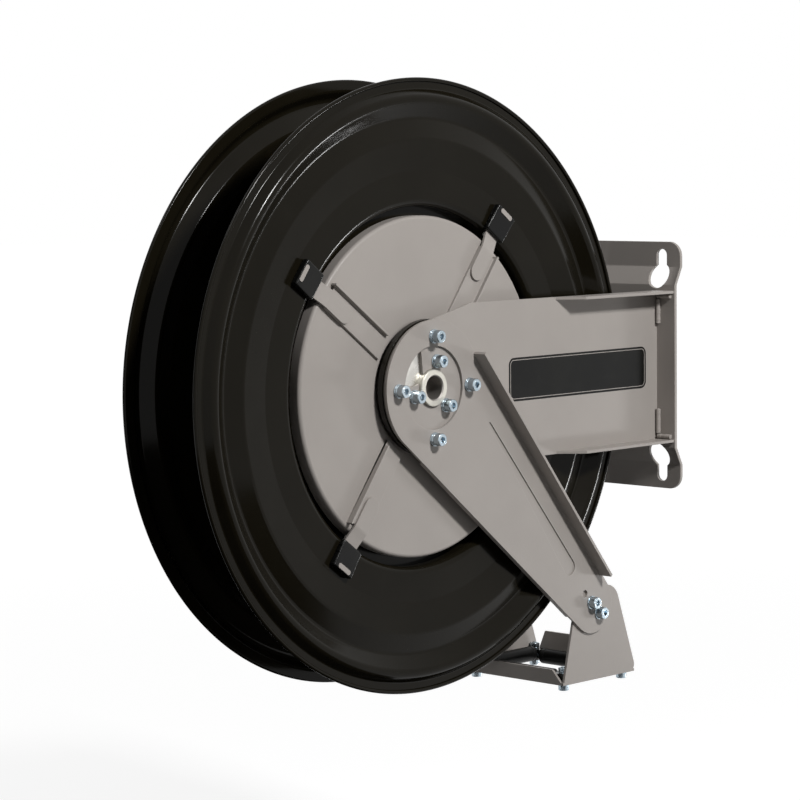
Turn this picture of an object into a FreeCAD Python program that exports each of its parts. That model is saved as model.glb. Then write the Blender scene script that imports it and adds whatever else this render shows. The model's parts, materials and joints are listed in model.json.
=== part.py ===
import FreeCAD, Part
import math
import os
import Sketcher

# Spring-rewind industrial hose reel, wall mounted.
# World frame, in millimetres: X runs along the drum axle towards the inlet side,
# Y runs into the wall (the wall face is Y = 0), Z is up. The origin is the centre
# of the wall plate on the wall face.

os.makedirs("parts", exist_ok=True)
doc = FreeCAD.newDocument("hose_reel")
Vector = FreeCAD.Vector

SIZES = [
    # the whole reel
    ("axle_to_wall", 380.0),       # axle centre line to the wall face
    ("drum_offset", 8.0),          # drum middle plane, towards the inlet side
    ("fold_steel", 3.0),           # sheet of the arms, guide arms and hose guide
    # wall plate
    ("plate_half_width", 97.0),
    ("plate_half_height", 137.5),
    ("plate_steel", 4.0),
    ("plate_stand_off", 10.0),     # gap behind the raised middle
    ("plate_middle", 90.0),        # half height of the raised middle
    ("plate_ear", 110.0),          # height where the flat ear begins
    ("plate_corner", 16.0),
    ("key_across", 71.0),          # keyhole centre line from the plate middle
    ("key_entry_height", 100.0),
    ("key_entry_radius", 13.5),
    ("key_slot_height", 122.5),
    ("key_slot_radius", 7.0),
    # main arms
    ("web_face", 72.0),            # outer face of the arm web
    ("web_round", 68.0),           # rounded hub end
    ("arm_half_height", 84.0),
    ("arm_shoulder", 62.0),        # where the taper of the web ends
    ("arm_fold_start", 194.0),
    ("arm_fold_full", 216.0),
    ("arm_fold_reach", 96.0),      # rim of the folded edges
    ("weld_leg", 6.0),
    # hub screws
    ("screw_radius", 4.0),
    ("screw_room", 0.3),           # clearance of a screw in its hole
    ("thread_room", 0.05),
    ("head_radius", 6.5),
    ("head_length", 8.0),
    ("key_flat", 6.0),             # hexagon key across flats
    ("key_depth", 4.5),
    ("washer_radius", 7.2),
    ("washer_steel", 1.6),
    ("spring_washer_radius", 6.9),
    ("spring_washer_steel", 2.0),
    ("outer_screw_circle", 52.6),
    ("inner_screw_circle", 27.6),
    ("inner_screw_turn", 76.0),
    # guide arms
    ("guide_round", 69.5),
    ("guide_hole", 43.0),
    ("guide_turn", -45.4),         # direction of the guide arm, from +Y towards +Z
    ("guide_length", 355.0),
    ("guide_end_round", 32.0),
    ("guide_edge_reach", 90.5),    # rim of the outward edge
    ("guide_edge_start", 20.0),
    ("guide_edge_end", 343.0),
    ("guide_back_depth", 3.5),
    ("guide_back_start", 43.0),
    ("guide_back_stop", 335.0),
    ("rib_start", 90.0),
    ("rib_start_side", 30.0),
    ("rib_stop", 296.0),
    ("rib_stop_side", 4.0),
    ("rib_start_round", 1.5),
    ("rib_stop_round", 9.0),
    ("guide_screw_inset", 3.0),     # first screw, short of the centre of the end round
    ("guide_screw_spacing", 17.6),
    ("peep_to_screw", 15.0),
    ("rib_depth", 1.2),
    ("peep_radius", 4.0),
    # hose guide
    ("tray_front", 203.0),
    ("tray_back", 324.0),
    ("tray_floor", -337.0),
    ("tray_front_height", 16.0),
    ("tray_back_height", 31.0),
    ("tray_cross_x", 52.0),        # floor window: clear of the cross rollers
    ("tray_cross_front", 208.0),
    ("tray_cross_back", 317.0),
    ("tray_side_x", 66.5),         # floor window: clear of the side rollers
    ("tray_side_front", 221.5),
    ("tray_side_back", 303.5),
    ("side_foot_round", 8.0),      # lower rear corner of a side plate
    ("side_top_y", 276.0),
    ("side_top_z", -257.0),
    ("side_top_round", 22.0),
    ("corner_screw_x", 63.5),
    ("corner_front", 213.5),
    ("corner_rear", 311.5),
    ("corner_block", 13.0),        # side of the moulded corner block
    ("corner_block_height", 8.5),
    ("corner_washer_radius", 5.3),
    ("corner_washer_steel", 1.4),
    ("roller_end_gap", 1.3),
    ("pin_in_block", 2.6),
    ("roller_radius", 8.5),
    ("roller_nose", 3.6),
    ("roller_bore", 2.05),
    ("pin_radius", 2.0),
    ("cross_roller_front", 218.5),
    ("cross_roller_rear", 306.5),
    ("cross_roller_height", -331.5),
    ("side_roller_x", 56.5),
    ("side_roller_height", -329.0),
    # axle and hub flanges
    ("axle_radius", 19.0),
    ("axle_end", 76.0),
    ("inlet_radius", 12.05),       # G 3/4 inside thread, bore at the crest
    ("inlet_depth", 22.0),
    ("passage_radius", 9.0),
    ("port_radius", 5.0),
    ("running_room", 0.05),
    ("hub_flange_radius", 70.0),
    ("hub_flange_steel", 7.5),
    # drum, measured from its own middle plane
    ("drum_steel", 1.8),
    ("core_radius", 185.5),
    ("drum_face", 50.0),
    ("drum_lip_radius", 315.0),
    ("lip_bead", 2.2),
    ("disc_radius", 175.0),
    ("disc_steel", 2.0),
    ("recess_radius", 65.0),
    ("recess_depth", 12.0),
    ("boss_radius", 30.0),
    ("boss_bore", 24.0),
    ("case_steel", 2.0),
    ("case_rim_x", 31.0),          # rims that close the case to the drum core
    ("spoke_width", 27.0),
    ("spoke_steel", 3.0),
    ("spoke_fold", 4.5),
    ("spoke_start", 72.0),
    ("spoke_end", 166.0),
    ("spoke_turn", 53.5),
    ("strap_width", 19.0),
    ("strap_steel", 2.5),
    ("strap_shift", 4.0),
    ("strap_start", 131.0),
    ("strap_end", 215.5),
    ("strap_bend", 1.0),           # bend past the end of the spoke
    ("strap_drop", 12.0),
    ("cap_start", 186.0),
    ("cap_end", 216.0),
    ("cap_width", 30.0),
    ("cap_height", 8.0),
    ("cap_round", 2.4),
    # main spring, swivel and hose outlet
    ("spring_steel", 0.9),
    ("spring_turns", 12.0),
    ("spring_width", 24.0),
    ("spring_key", 2.0),           # key in the axle that holds the inner end
    ("spring_key_height", 5.2),
    ("swivel_radius", 32.0),
    ("case_divider", 2.0),         # thickness of the disc inside the spring case
    ("swivel_near", -1.0),
    ("swivel_screw_circle", 36.2),
    ("swivel_screw_radius", 2.0),
    ("swivel_head_radius", 3.2),
    ("swivel_head_length", 4.0),
    ("swivel_flange", 4.0),
    ("swivel_far", -34.0),
    ("outlet_x", -18.0),
    ("outlet_turn", 98.0),
    ("pipe_radius", 9.0),
    ("pipe_bore", 6.5),
    ("outlet_radius", 9.3),        # G 1/2 inside thread, bore at the crest
    ("nipple_radius", 15.0),
    ("nipple_length", 26.0),
    # ratchet and pawl, on the side away from the inlet
    ("ratchet_radius", 60.0),
    ("ratchet_root", 52.0),
    ("ratchet_steel", 5.0),
    ("ratchet_teeth", 12.0),
    ("pawl_pivot_y", 80.0),
    ("pawl_pin_radius", 4.0),
    ("pawl_eye", 9.0),
    ("pawl_reach", 26.0),
    ("pawl_spring_steel", 0.6),
    ("pawl_spring_turns", 3.0),
    ("pawl_spring_width", 8.0),
    ("pawl_spring_radius", 7.4),
]

sheet = doc.addObject("Spreadsheet::Sheet", "sheet")
for row, (alias, value) in enumerate(SIZES, start=1):
    cell = "A%d" % row
    sheet.set(cell, repr(value))
    sheet.setAlias(cell, alias)
doc.recompute()


class Size:
    """A number of the sheet together with the expression that gives it."""

    def __init__(self, value, text):
        self.value = float(value)
        self.text = text

    def __float__(self):
        return self.value

    def __neg__(self):
        return Size(-self.value, "(0 - %s)" % self.text)

    def __add__(self, other):
        other = size(other)
        return Size(self.value + other.value, "(%s + %s)" % (self.text, other.text))

    def __sub__(self, other):
        other = size(other)
        return Size(self.value - other.value, "(%s - %s)" % (self.text, other.text))

    def __mul__(self, other):
        other = size(other)
        return Size(self.value * other.value, "(%s * %s)" % (self.text, other.text))

    def __truediv__(self, other):
        other = size(other)
        return Size(self.value / other.value, "(%s / %s)" % (self.text, other.text))

    def __radd__(self, other):
        return size(other) + self

    def __rsub__(self, other):
        return size(other) - self

    def __rmul__(self, other):
        return size(other) * self


def size(thing):
    """Turn a plain number into a Size; leave a Size as it is."""
    if isinstance(thing, Size):
        return thing
    return Size(thing, "%.6f" % thing if thing >= 0 else "(0 - %.6f)" % -thing)


def cosine(angle):
    """Cosine of an angle in degrees, as a Size."""
    angle = size(angle)
    return Size(math.cos(math.radians(angle.value)), "cos(%s)" % angle.text)


def sine(angle):
    """Sine of an angle in degrees, as a Size."""
    angle = size(angle)
    return Size(math.sin(math.radians(angle.value)), "sin(%s)" % angle.text)


def polar(radius, angle):
    """Point on a circle round the axle: its Y and Z from the axle centre."""
    return size(radius) * cosine(angle), size(radius) * sine(angle)


S = {alias: Size(sheet.get(alias), "sheet.%s" % alias) for alias, value in SIZES}


def place(thing, across=0.0):
    """Put a piece in the frame of the axle: centred on it, ACROSS along it."""
    thing.setExpression("Placement.Base.x", size(across).text)
    thing.setExpression("Placement.Base.y", (-S["axle_to_wall"]).text)


def new_body(name, across=0.0):
    body = doc.addObject("PartDesign::Body", name)
    body.Label = name
    place(body, across)
    return body


def new_sketch(body, plane, offset=0.0):
    """Sketch on a plane of the body's origin, moved by OFFSET along its normal."""
    sketch = body.newObject("Sketcher::SketchObject", body.Name + "_sketch")
    support = [item for item in body.Origin.OriginFeatures if item.Role == plane][0]
    sketch.AttachmentSupport = [(support, "")]
    sketch.MapMode = "FlatFace"
    sketch.setExpression("AttachmentOffset.Base.z", size(offset).text)
    return sketch


def fix(sketch, kind, item, position, value):
    """Hold one coordinate of a sketch point at a Size."""
    value = size(value)
    number = sketch.addConstraint(Sketcher.Constraint(kind, -1, 1, item, position, value.value))
    sketch.setExpression("Constraints[%d]" % number, value.text)


def hold_radius(sketch, item, value):
    number = sketch.addConstraint(Sketcher.Constraint("Radius", item, value.value))
    sketch.setExpression("Constraints[%d]" % number, value.text)


def outline(sketch, stops):
    """Closed outline through corner points (a, b) and tangent rounds (a, b, radius).

    A positive radius turns left, a negative one turns right, as the outline is
    followed with the inside on its left.
    """
    stops = [tuple(size(part) for part in stop) for stop in stops]
    count = len(stops)
    lines = []
    for i in range(count):
        one, two = stops[i], stops[(i + 1) % count]
        r_one = one[2].value if len(one) == 3 else 0.0
        r_two = two[2].value if len(two) == 3 else 0.0
        step_a, step_b = two[0].value - one[0].value, two[1].value - one[1].value
        turn = math.atan2(step_b, step_a) - math.asin((r_two - r_one) / math.hypot(step_a, step_b))
        left = (-math.sin(turn), math.cos(turn))
        start = Vector(one[0].value - r_one * left[0], one[1].value - r_one * left[1], 0)
        end = Vector(two[0].value - r_two * left[0], two[1].value - r_two * left[1], 0)
        lines.append(sketch.addGeometry(Part.LineSegment(start, end)))
    ends = [(sketch.Geometry[line].StartPoint, sketch.Geometry[line].EndPoint) for line in lines]
    for i in range(count):
        stop, before, after = stops[i], lines[i - 1], lines[i]
        if len(stop) == 2:
            sketch.addConstraint(Sketcher.Constraint("Coincident", before, 2, after, 1))
            fix(sketch, "DistanceX", after, 1, stop[0])
            fix(sketch, "DistanceY", after, 1, stop[1])
            continue
        centre = Vector(stop[0].value, stop[1].value, 0)
        first, last = ends[i - 1][1] - centre, ends[i][0] - centre
        angles = [math.atan2(first.y, first.x), math.atan2(last.y, last.x)]
        left_turn = stop[2].value > 0
        if not left_turn:
            angles.reverse()
        circle = Part.Circle(centre, Vector(0, 0, 1), abs(stop[2].value))
        arc = sketch.addGeometry(Part.ArcOfCircle(circle, angles[0], angles[1]))
        enter, leave = (1, 2) if left_turn else (2, 1)
        sketch.addConstraint(Sketcher.Constraint("Tangent", before, 2, arc, enter))
        sketch.addConstraint(Sketcher.Constraint("Tangent", arc, leave, after, 1))
        fix(sketch, "DistanceX", arc, 3, stop[0])
        fix(sketch, "DistanceY", arc, 3, stop[1])
        hold_radius(sketch, arc, stop[2] if left_turn else -stop[2])


def circle(sketch, a, b, radius):
    """Circle with its centre and radius held at sheet sizes."""
    a, b, radius = size(a), size(b), size(radius)
    centre = Vector(a.value, b.value, 0)
    item = sketch.addGeometry(Part.Circle(centre, Vector(0, 0, 1), radius.value))
    fix(sketch, "DistanceX", item, 3, a)
    fix(sketch, "DistanceY", item, 3, b)
    hold_radius(sketch, item, radius)


def box_outline(sketch, a_low, a_high, b_low, b_high):
    outline(sketch, [(a_low, b_low), (a_high, b_low), (a_high, b_high), (a_low, b_high)])


def bent_sheet(sketch, start, bends, end, steel):
    """Outline of a bent sheet that follows its middle line.

    START and END are the middle points with the direction of the sheet there
    ("a" or "b"); BENDS are (a, b, radius) rounds of the middle line.
    """
    half = size(steel) / 2
    a, b, run = start
    starts = ((a, b - half), (a, b + half)) if run == "a" else ((a + half, b), (a - half, b))
    a, b, run = end
    back = run.startswith("-")
    half_end = -half if back else half
    if run.endswith("a"):
        ends = ((a, b - half_end), (a, b + half_end))
    else:
        ends = ((a + half_end, b), (a - half_end, b))
    stops = [starts[0]]
    stops += [(a, b, size(r) + half) for a, b, r in bends]
    stops += [ends[0], ends[1]]
    stops += [(a, b, half - size(r)) for a, b, r in reversed(bends)]
    stops.append(starts[1])
    outline(sketch, stops)


def pad(body, sketch, length, both_ways=False):
    feature = body.newObject("PartDesign::Pad", body.Name + "_pad")
    feature.Profile = sketch
    feature.setExpression("Length", size(length).text)
    feature.Midplane = both_ways
    finish(body, sketch)
    return feature


def pocket(body, sketch, depth=None, both_ways=False):
    """Cut against the sketch normal, or right through when no depth is given."""
    feature = body.newObject("PartDesign::Pocket", body.Name + "_pocket")
    feature.Profile = sketch
    if depth is None:
        feature.Type = "ThroughAll"
    else:
        feature.setExpression("Length", size(depth).text)
    feature.Midplane = both_ways
    finish(body, sketch)
    return feature


def turn(body, sketch, cut=False, axis="H_Axis"):
    """Revolve a sketch a full turn round the axle line."""
    kind = "PartDesign::Groove" if cut else "PartDesign::Revolution"
    feature = body.newObject(kind, body.Name + ("_groove" if cut else "_turned"))
    feature.Profile = sketch
    feature.ReferenceAxis = (sketch, [axis])
    feature.Angle = 360.0
    finish(body, sketch)
    return feature


def finish(body, sketch):
    sketch.Visibility = False
    doc.recompute()


def ring_body(name, across, x_low, x_high, inner, outer):
    """Plain ring round the axle."""
    body = new_body(name, across)
    sketch = new_sketch(body, "XY_Plane")
    box_outline(sketch, x_low, x_high, inner, outer)
    turn(body, sketch)
    return body


def round_edges(body, radius, chosen):
    """Fillet the edges of the body's last shape that CHOSEN picks."""
    base = body.Tip
    names = ["Edge%d" % (i + 1) for i, edge in enumerate(base.Shape.Edges) if chosen(edge)]
    feature = body.newObject("PartDesign::Fillet", body.Name + "_fillet")
    feature.Base = (base, names)
    feature.setExpression("Radius", size(radius).text)
    base.Visibility = False
    doc.recompute()


def group(name, shapes, across=0.0):
    """Node made of several separate solids, already placed round the axle."""
    feature = doc.addObject("Part::Feature", name)
    feature.Label = name
    feature.Shape = Part.makeCompound(shapes)
    place(feature, across)
    return feature


def mirror(name, source, across=0.0):
    """Mirror image of a piece in the plane X = ACROSS."""
    feature = doc.addObject("Part::Mirroring", name)
    feature.Label = name
    feature.Source = source
    feature.Normal = Vector(1, 0, 0)
    feature.setExpression("Base.x", size(across).text)
    return feature


def moved(shape, x=0.0, y=0.0, z=0.0, turn_angle=0.0):
    """Copy of a shape, turned round the X axis and then moved."""
    copy = shape.copy()
    copy.rotate(Vector(0, 0, 0), Vector(1, 0, 0), float(turn_angle))
    copy.translate(Vector(float(x), float(y), float(z)))
    return copy


def tube_shape(start, direction, length, outer, inner=0.0):
    """Straight tube or rod as a plain shape."""
    rod = Part.makeCylinder(float(outer), float(length), start, direction)
    if float(inner) > 0:
        rod = rod.cut(Part.makeCylinder(float(inner), float(length), start, direction))
    return rod


def hexagon_shape(across_flats, length):
    """Hexagon prism standing on the YZ plane, along +X."""
    corner = float(across_flats) / math.sqrt(3)
    points = [Vector(0, corner * math.cos(math.radians(60 * i)), corner * math.sin(math.radians(60 * i)))
              for i in range(7)]
    return Part.Face(Part.makePolygon(points)).extrude(Vector(float(length), 0, 0))


# ---------------------------------------------------------------- wall plate

wall_front = S["axle_to_wall"] - S["plate_steel"]
raised_back = S["axle_to_wall"] - S["plate_stand_off"]
raised_front = raised_back - S["plate_steel"]

wall_plate = new_body("wall_plate")
profile = new_sketch(wall_plate, "YZ_Plane")
front_side = [(wall_front, S["plate_half_height"]), (wall_front, S["plate_ear"]),
              (raised_front, S["plate_middle"])]
back_side = [(raised_back, S["plate_middle"]), (S["axle_to_wall"], S["plate_ear"]),
             (S["axle_to_wall"], S["plate_half_height"])]
outline(profile, front_side + [(a, -b) for a, b in reversed(front_side)]
        + [(a, -b) for a, b in reversed(back_side)] + back_side)
pad(wall_plate, profile, 2 * S["plate_half_width"], both_ways=True)

entries = new_sketch(wall_plate, "XZ_Plane")
slots = new_sketch(wall_plate, "XZ_Plane")
for side in (-1, 1):
    for rise in (-1, 1):
        middle = side * S["key_across"]
        circle(entries, middle, rise * S["key_entry_height"], S["key_entry_radius"])
        low, high = sorted((rise * S["key_entry_height"], rise * S["key_slot_height"]), key=float)
        outline(slots, [(middle, low, S["key_slot_radius"]), (middle, high, S["key_slot_radius"])])
pocket(wall_plate, entries, both_ways=True)
pocket(wall_plate, slots, both_ways=True)


def plate_corner_edge(edge):
    """Short edges through the sheet at the four corners of the plate."""
    centre = edge.BoundBox.Center
    return (abs(abs(centre.x) - float(S["plate_half_width"])) < 0.01
            and abs(abs(centre.z) - float(S["plate_half_height"])) < 0.01
            and edge.BoundBox.YLength > 1)


round_edges(wall_plate, S["plate_corner"], plate_corner_edge)

# ---------------------------------------------------------------- main arms

web_back = S["web_face"] - S["fold_steel"]


def screw_places(circle_radius, first, count):
    return [polar(circle_radius, first + 360.0 / count * i) for i in range(count)]


outer_places = screw_places(S["outer_screw_circle"], size(0.0), 4)
inner_places = screw_places(S["inner_screw_circle"], S["inner_screw_turn"], 3)
screw_hole = S["screw_radius"] + S["screw_room"]

main_arm = new_body("main_arm_inlet")
web = new_sketch(main_arm, "YZ_Plane", web_back)
outline(web, [(0.0, 0.0, S["web_round"]), (S["arm_shoulder"], -S["arm_half_height"]),
              (raised_front, -S["arm_half_height"]), (raised_front, S["arm_half_height"]),
              (S["arm_shoulder"], S["arm_half_height"])])
pad(main_arm, web, S["fold_steel"])
folds = new_sketch(main_arm, "XY_Plane", S["arm_half_height"] - S["fold_steel"])
outline(folds, [(web_back, S["arm_fold_start"]), (S["web_face"], S["arm_fold_start"]),
                (S["arm_fold_reach"], S["arm_fold_full"]), (S["arm_fold_reach"], raised_front),
                (web_back, raised_front)])
pad(main_arm, folds, S["fold_steel"])
folds = new_sketch(main_arm, "XY_Plane", -S["arm_half_height"])
outline(folds, [(web_back, S["arm_fold_start"]), (S["web_face"], S["arm_fold_start"]),
                (S["arm_fold_reach"], S["arm_fold_full"]), (S["arm_fold_reach"], raised_front),
                (web_back, raised_front)])
pad(main_arm, folds, S["fold_steel"])
holes = new_sketch(main_arm, "YZ_Plane", S["web_face"])
circle(holes, 0.0, 0.0, S["axle_radius"] + 0.2)
for y, z in outer_places + inner_places:
    circle(holes, y, z, screw_hole)
pocket(main_arm, holes, S["fold_steel"])
# sector opened beside the axle so the machined flange shows
sector = new_sketch(main_arm, "YZ_Plane", S["web_face"])
reach = S["guide_hole"] - 1.0
outline(sector, [polar(14.0, 150.0), polar(reach, 112.0), polar(reach * 1.02, 131.0),
                 polar(reach * 1.02, 150.0), polar(reach, 170.0), polar(reach * 0.9, 182.0)])
pocket(main_arm, sector, S["fold_steel"])


def arm_fold_edge(edge):
    """Outside bends between the web and its folded edges."""
    box = edge.BoundBox
    return (box.YLength > 100 and box.XLength < 0.01 and abs(box.XMin - float(web_back)) < 0.01
            and abs(abs(box.ZMin) - float(S["arm_half_height"])) < 0.01)


round_edges(main_arm, S["fold_steel"] * 0.8, arm_fold_edge)
main_arm_far = mirror("main_arm_far", main_arm)


def weld_shape(start, end, leg_one, leg_two):
    """Three-sided weld bead from START to END with legs along two directions."""
    face = Part.Face(Part.makePolygon([start, start + leg_one, start + leg_two, start]))
    return face.extrude(end - start)


leg = float(S["weld_leg"])
weld_y = float(raised_front)
arm_top = float(S["arm_half_height"])
inside = arm_top - float(S["fold_steel"])
beads = []
for rise in (-1, 1):
    rim = float(S["arm_fold_reach"])
    beads.append(weld_shape(Vector(float(S["web_face"]) + 2, weld_y, rise * inside),
                            Vector(rim - 3, weld_y, rise * inside),
                            Vector(0, -leg, 0), Vector(0, 0, -rise * leg)))
    beads.append(weld_shape(Vector(float(S["web_face"]), weld_y, rise * (inside - 6)),
                            Vector(float(S["web_face"]), weld_y, rise * (inside - 34)),
                            Vector(0, -leg, 0), Vector(leg, 0, 0)))
beads += [bead.mirror(Vector(0, 0, 0), Vector(1, 0, 0)) for bead in beads]
arm_welds = group("arm_welds", beads)

# ---------------------------------------------------------------- hub flanges and axle

flange_back = web_back - S["hub_flange_steel"]
hub_flange = new_body("hub_flange_inlet")
profile = new_sketch(hub_flange, "XY_Plane")
outline(profile, [(flange_back, S["axle_radius"]), (web_back, S["axle_radius"]),
                  (web_back, S["hub_flange_radius"]), (flange_back + 1.5, S["hub_flange_radius"]),
                  (flange_back, S["hub_flange_radius"] - 1.5)])
turn(hub_flange, profile)
holes = new_sketch(hub_flange, "YZ_Plane", web_back)
for y, z in outer_places + inner_places:
    circle(holes, y, z, S["screw_radius"] + S["thread_room"])
pocket(hub_flange, holes, S["hub_flange_steel"])
hub_flange_far = mirror("hub_flange_far", hub_flange)

axle = new_body("hollow_axle")
profile = new_sketch(axle, "XY_Plane")
bore_floor = S["axle_end"] - S["inlet_depth"]
outlet_world = S["outlet_x"] + S["drum_offset"]
outline(profile, [(-S["axle_end"], 0.0), (outlet_world - 8.0, 0.0), (outlet_world - 8.0, S["passage_radius"]),
                  (bore_floor, S["passage_radius"]), (bore_floor, S["inlet_radius"]),
                  (S["axle_end"] - 1.2, S["inlet_radius"]), (S["axle_end"], S["inlet_radius"] + 1.2),
                  (S["axle_end"], S["axle_radius"] - 0.8), (S["axle_end"] - 0.8, S["axle_radius"]),
                  (-S["axle_end"] + 0.8, S["axle_radius"]), (-S["axle_end"], S["axle_radius"] - 0.8)])
turn(axle, profile)
ports = new_sketch(axle, "XY_Plane")
circle(ports, outlet_world, 0.0, S["port_radius"])
pocket(axle, ports, both_ways=True)
grooves = new_sketch(axle, "XY_Plane")
seal_places = [outlet_world - 11.0, outlet_world + 11.0]
for x in seal_places:
    box_outline(grooves, x - 1.8, x + 1.8, S["axle_radius"] - 2.6, S["axle_radius"] + 1)
turn(axle, grooves, cut=True)
spring_near = S["drum_offset"] + 3.0
spring_slot = new_sketch(axle, "XY_Plane", S["axle_radius"])
box_outline(spring_slot, spring_near - 0.2, spring_near + S["spring_width"] + 0.2, -1.0, 1.0)
pocket(axle, spring_slot, 6.0)

# ---------------------------------------------------------------- guide arms

guide_back = S["web_face"]
guide_face = guide_back + S["fold_steel"]
guide_y, guide_z = polar(S["guide_length"], S["guide_turn"])
first_screw = S["guide_length"] - S["guide_screw_inset"]
guide_places = [polar(first_screw, S["guide_turn"]),
                polar(first_screw + S["guide_screw_spacing"], S["guide_turn"])]


def along_guide(distance, sideways):
    """Point in the plane of the guide arm, SIDEWAYS positive towards the wall."""
    y = distance * cosine(S["guide_turn"]) - sideways * sine(S["guide_turn"])
    z = distance * sine(S["guide_turn"]) + sideways * cosine(S["guide_turn"])
    return y, z


def guide_half_width(distance):
    """Half width of the guide arm, from the tangent line between its two rounds."""
    slope = (S["guide_round"] - S["guide_end_round"]) / S["guide_length"]
    return (S["guide_round"] - distance * slope) * 1.005


guide_arm = new_body("guide_arm_inlet")
plate = new_sketch(guide_arm, "YZ_Plane", guide_back)
outline(plate, [(0.0, 0.0, S["guide_round"]), (guide_y, guide_z, S["guide_end_round"])])
pad(guide_arm, plate, S["fold_steel"])

start, stop = S["guide_edge_start"], S["guide_edge_end"]
edge = new_sketch(guide_arm, "YZ_Plane", guide_back)
outline(edge, [along_guide(start, guide_half_width(start)),
               along_guide(start, guide_half_width(start) - S["fold_steel"]),
               along_guide(stop, guide_half_width(stop) - S["fold_steel"]),
               along_guide(stop, guide_half_width(stop))])
pad(guide_arm, edge, S["guide_edge_reach"] - guide_back)
start, stop = S["guide_back_start"], S["guide_back_stop"]
edge = new_sketch(guide_arm, "YZ_Plane", guide_back - S["guide_back_depth"])
outline(edge, [along_guide(start, S["fold_steel"] - guide_half_width(start)),
               along_guide(start, -guide_half_width(start)),
               along_guide(stop, -guide_half_width(stop)),
               along_guide(stop, S["fold_steel"] - guide_half_width(stop))])
pad(guide_arm, edge, S["guide_back_depth"] + S["fold_steel"])
holes = new_sketch(guide_arm, "YZ_Plane", guide_face)
circle(holes, 0.0, 0.0, S["guide_hole"])
for y, z in outer_places + guide_places:
    circle(holes, y, z, screw_hole)
circle(holes, *along_guide(first_screw - S["peep_to_screw"], size(0.0)), S["peep_radius"])
pocket(guide_arm, holes, S["fold_steel"])
rib = new_sketch(guide_arm, "YZ_Plane", guide_face)
tip_y, tip_z = along_guide(S["rib_start"], S["rib_start_side"])
end_y, end_z = along_guide(S["rib_stop"], S["rib_stop_side"])
outline(rib, [(tip_y, tip_z, S["rib_start_round"]), (end_y, end_z, S["rib_stop_round"])])
pocket(guide_arm, rib, S["rib_depth"])
guide_arm_far = mirror("guide_arm_far", guide_arm)

# ---------------------------------------------------------------- screws and washers


def socket_screw(length):
    """Socket-head screw along X: head towards +X, shank from 0 back to -LENGTH."""
    radius, head, tall = float(S["screw_radius"]), float(S["head_radius"]), float(S["head_length"])
    points = [Vector(-length, 0, 0), Vector(-length, radius - 0.8, 0), Vector(0.8 - length, radius, 0),
              Vector(0, radius, 0), Vector(0, head, 0), Vector(tall - 0.8, head, 0),
              Vector(tall, head - 0.8, 0), Vector(tall, 0, 0), Vector(-length, 0, 0)]
    solid = Part.Face(Part.makePolygon(points)).revolve(Vector(0, 0, 0), Vector(1, 0, 0), 360)
    key = hexagon_shape(S["key_flat"], S["key_depth"])
    key.translate(Vector(tall - float(S["key_depth"]), 0, 0))
    return Part.Solid(Part.Shell(solid.Faces)).cut(key)


def washer_shape(outer, steel, split=False):
    """Plain washer, or a split spring washer with a slanting gap."""
    inner = float(S["screw_radius"]) + 0.2
    ring = tube_shape(Vector(0, 0, 0), Vector(1, 0, 0), steel, outer, inner)
    if split:
        gap = Part.makeBox(float(steel) * 3, 1.2, float(outer) * 2)
        gap.translate(Vector(-float(steel), -0.6, 0))
        gap.rotate(Vector(float(steel) / 2, 0, 0), Vector(0, 0, 1), 20)
        ring = ring.cut(gap)
    return ring


def nut_shape(across_flats, length):
    """Hexagon nut along X with a clear bore and rounded corners."""
    body = hexagon_shape(across_flats, length)
    cone = Part.makeCone(float(across_flats) / 2 + 3.2, float(across_flats) / 2 - 0.2, float(length) + 1.5,
                         Vector(-0.2, 0, 0), Vector(1, 0, 0))
    body = body.common(cone)
    bore = Part.makeCylinder(float(S["screw_radius"]) + float(S["thread_room"]), float(length) + 2,
                             Vector(-1, 0, 0), Vector(1, 0, 0))
    return body.cut(bore)


def both_sides(shapes):
    """The shapes and their mirror images on the side away from the inlet."""
    return shapes + [shape.mirror(Vector(0, 0, 0), Vector(1, 0, 0)) for shape in shapes]


flat = float(S["washer_steel"])
split = float(S["spring_washer_steel"])
hub_screws, hub_washers, hub_splits = [], [], []
for seat, places in ((float(guide_face), outer_places), (float(S["web_face"]), inner_places)):
    head_seat = seat + flat + split
    screw = socket_screw(head_seat - float(flange_back) - 0.5)
    for number, (y, z) in enumerate(places):
        hub_screws.append(moved(screw, head_seat, y, z, 17 * number))
        hub_washers.append(moved(washer_shape(S["washer_radius"], flat), seat, y, z))
        hub_splits.append(moved(washer_shape(S["spring_washer_radius"], split, True),
                                seat + flat, y, z, 40 + 55 * number))
group("hub_screws", both_sides(hub_screws))
group("hub_washers", both_sides(hub_washers))
group("hub_spring_washers", both_sides(hub_splits))

guide_screws, guide_washers, guide_nuts = [], [], []
nut_tall = 6.5
for number, (y, z) in enumerate(guide_places):
    head_seat = float(guide_face) + flat
    screw = socket_screw(head_seat - float(web_back) + nut_tall + 1.5)
    guide_screws.append(moved(screw, head_seat, y, z, 23 * number))
    guide_washers.append(moved(washer_shape(S["washer_radius"], flat), guide_face, y, z))
    guide_nuts.append(moved(nut_shape(13.0, nut_tall), float(web_back) - nut_tall, y, z, 12))
group("guide_screws", both_sides(guide_screws))
group("guide_washers", both_sides(guide_washers))
group("guide_nuts", both_sides(guide_nuts))

# ---------------------------------------------------------------- hose guide

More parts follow.
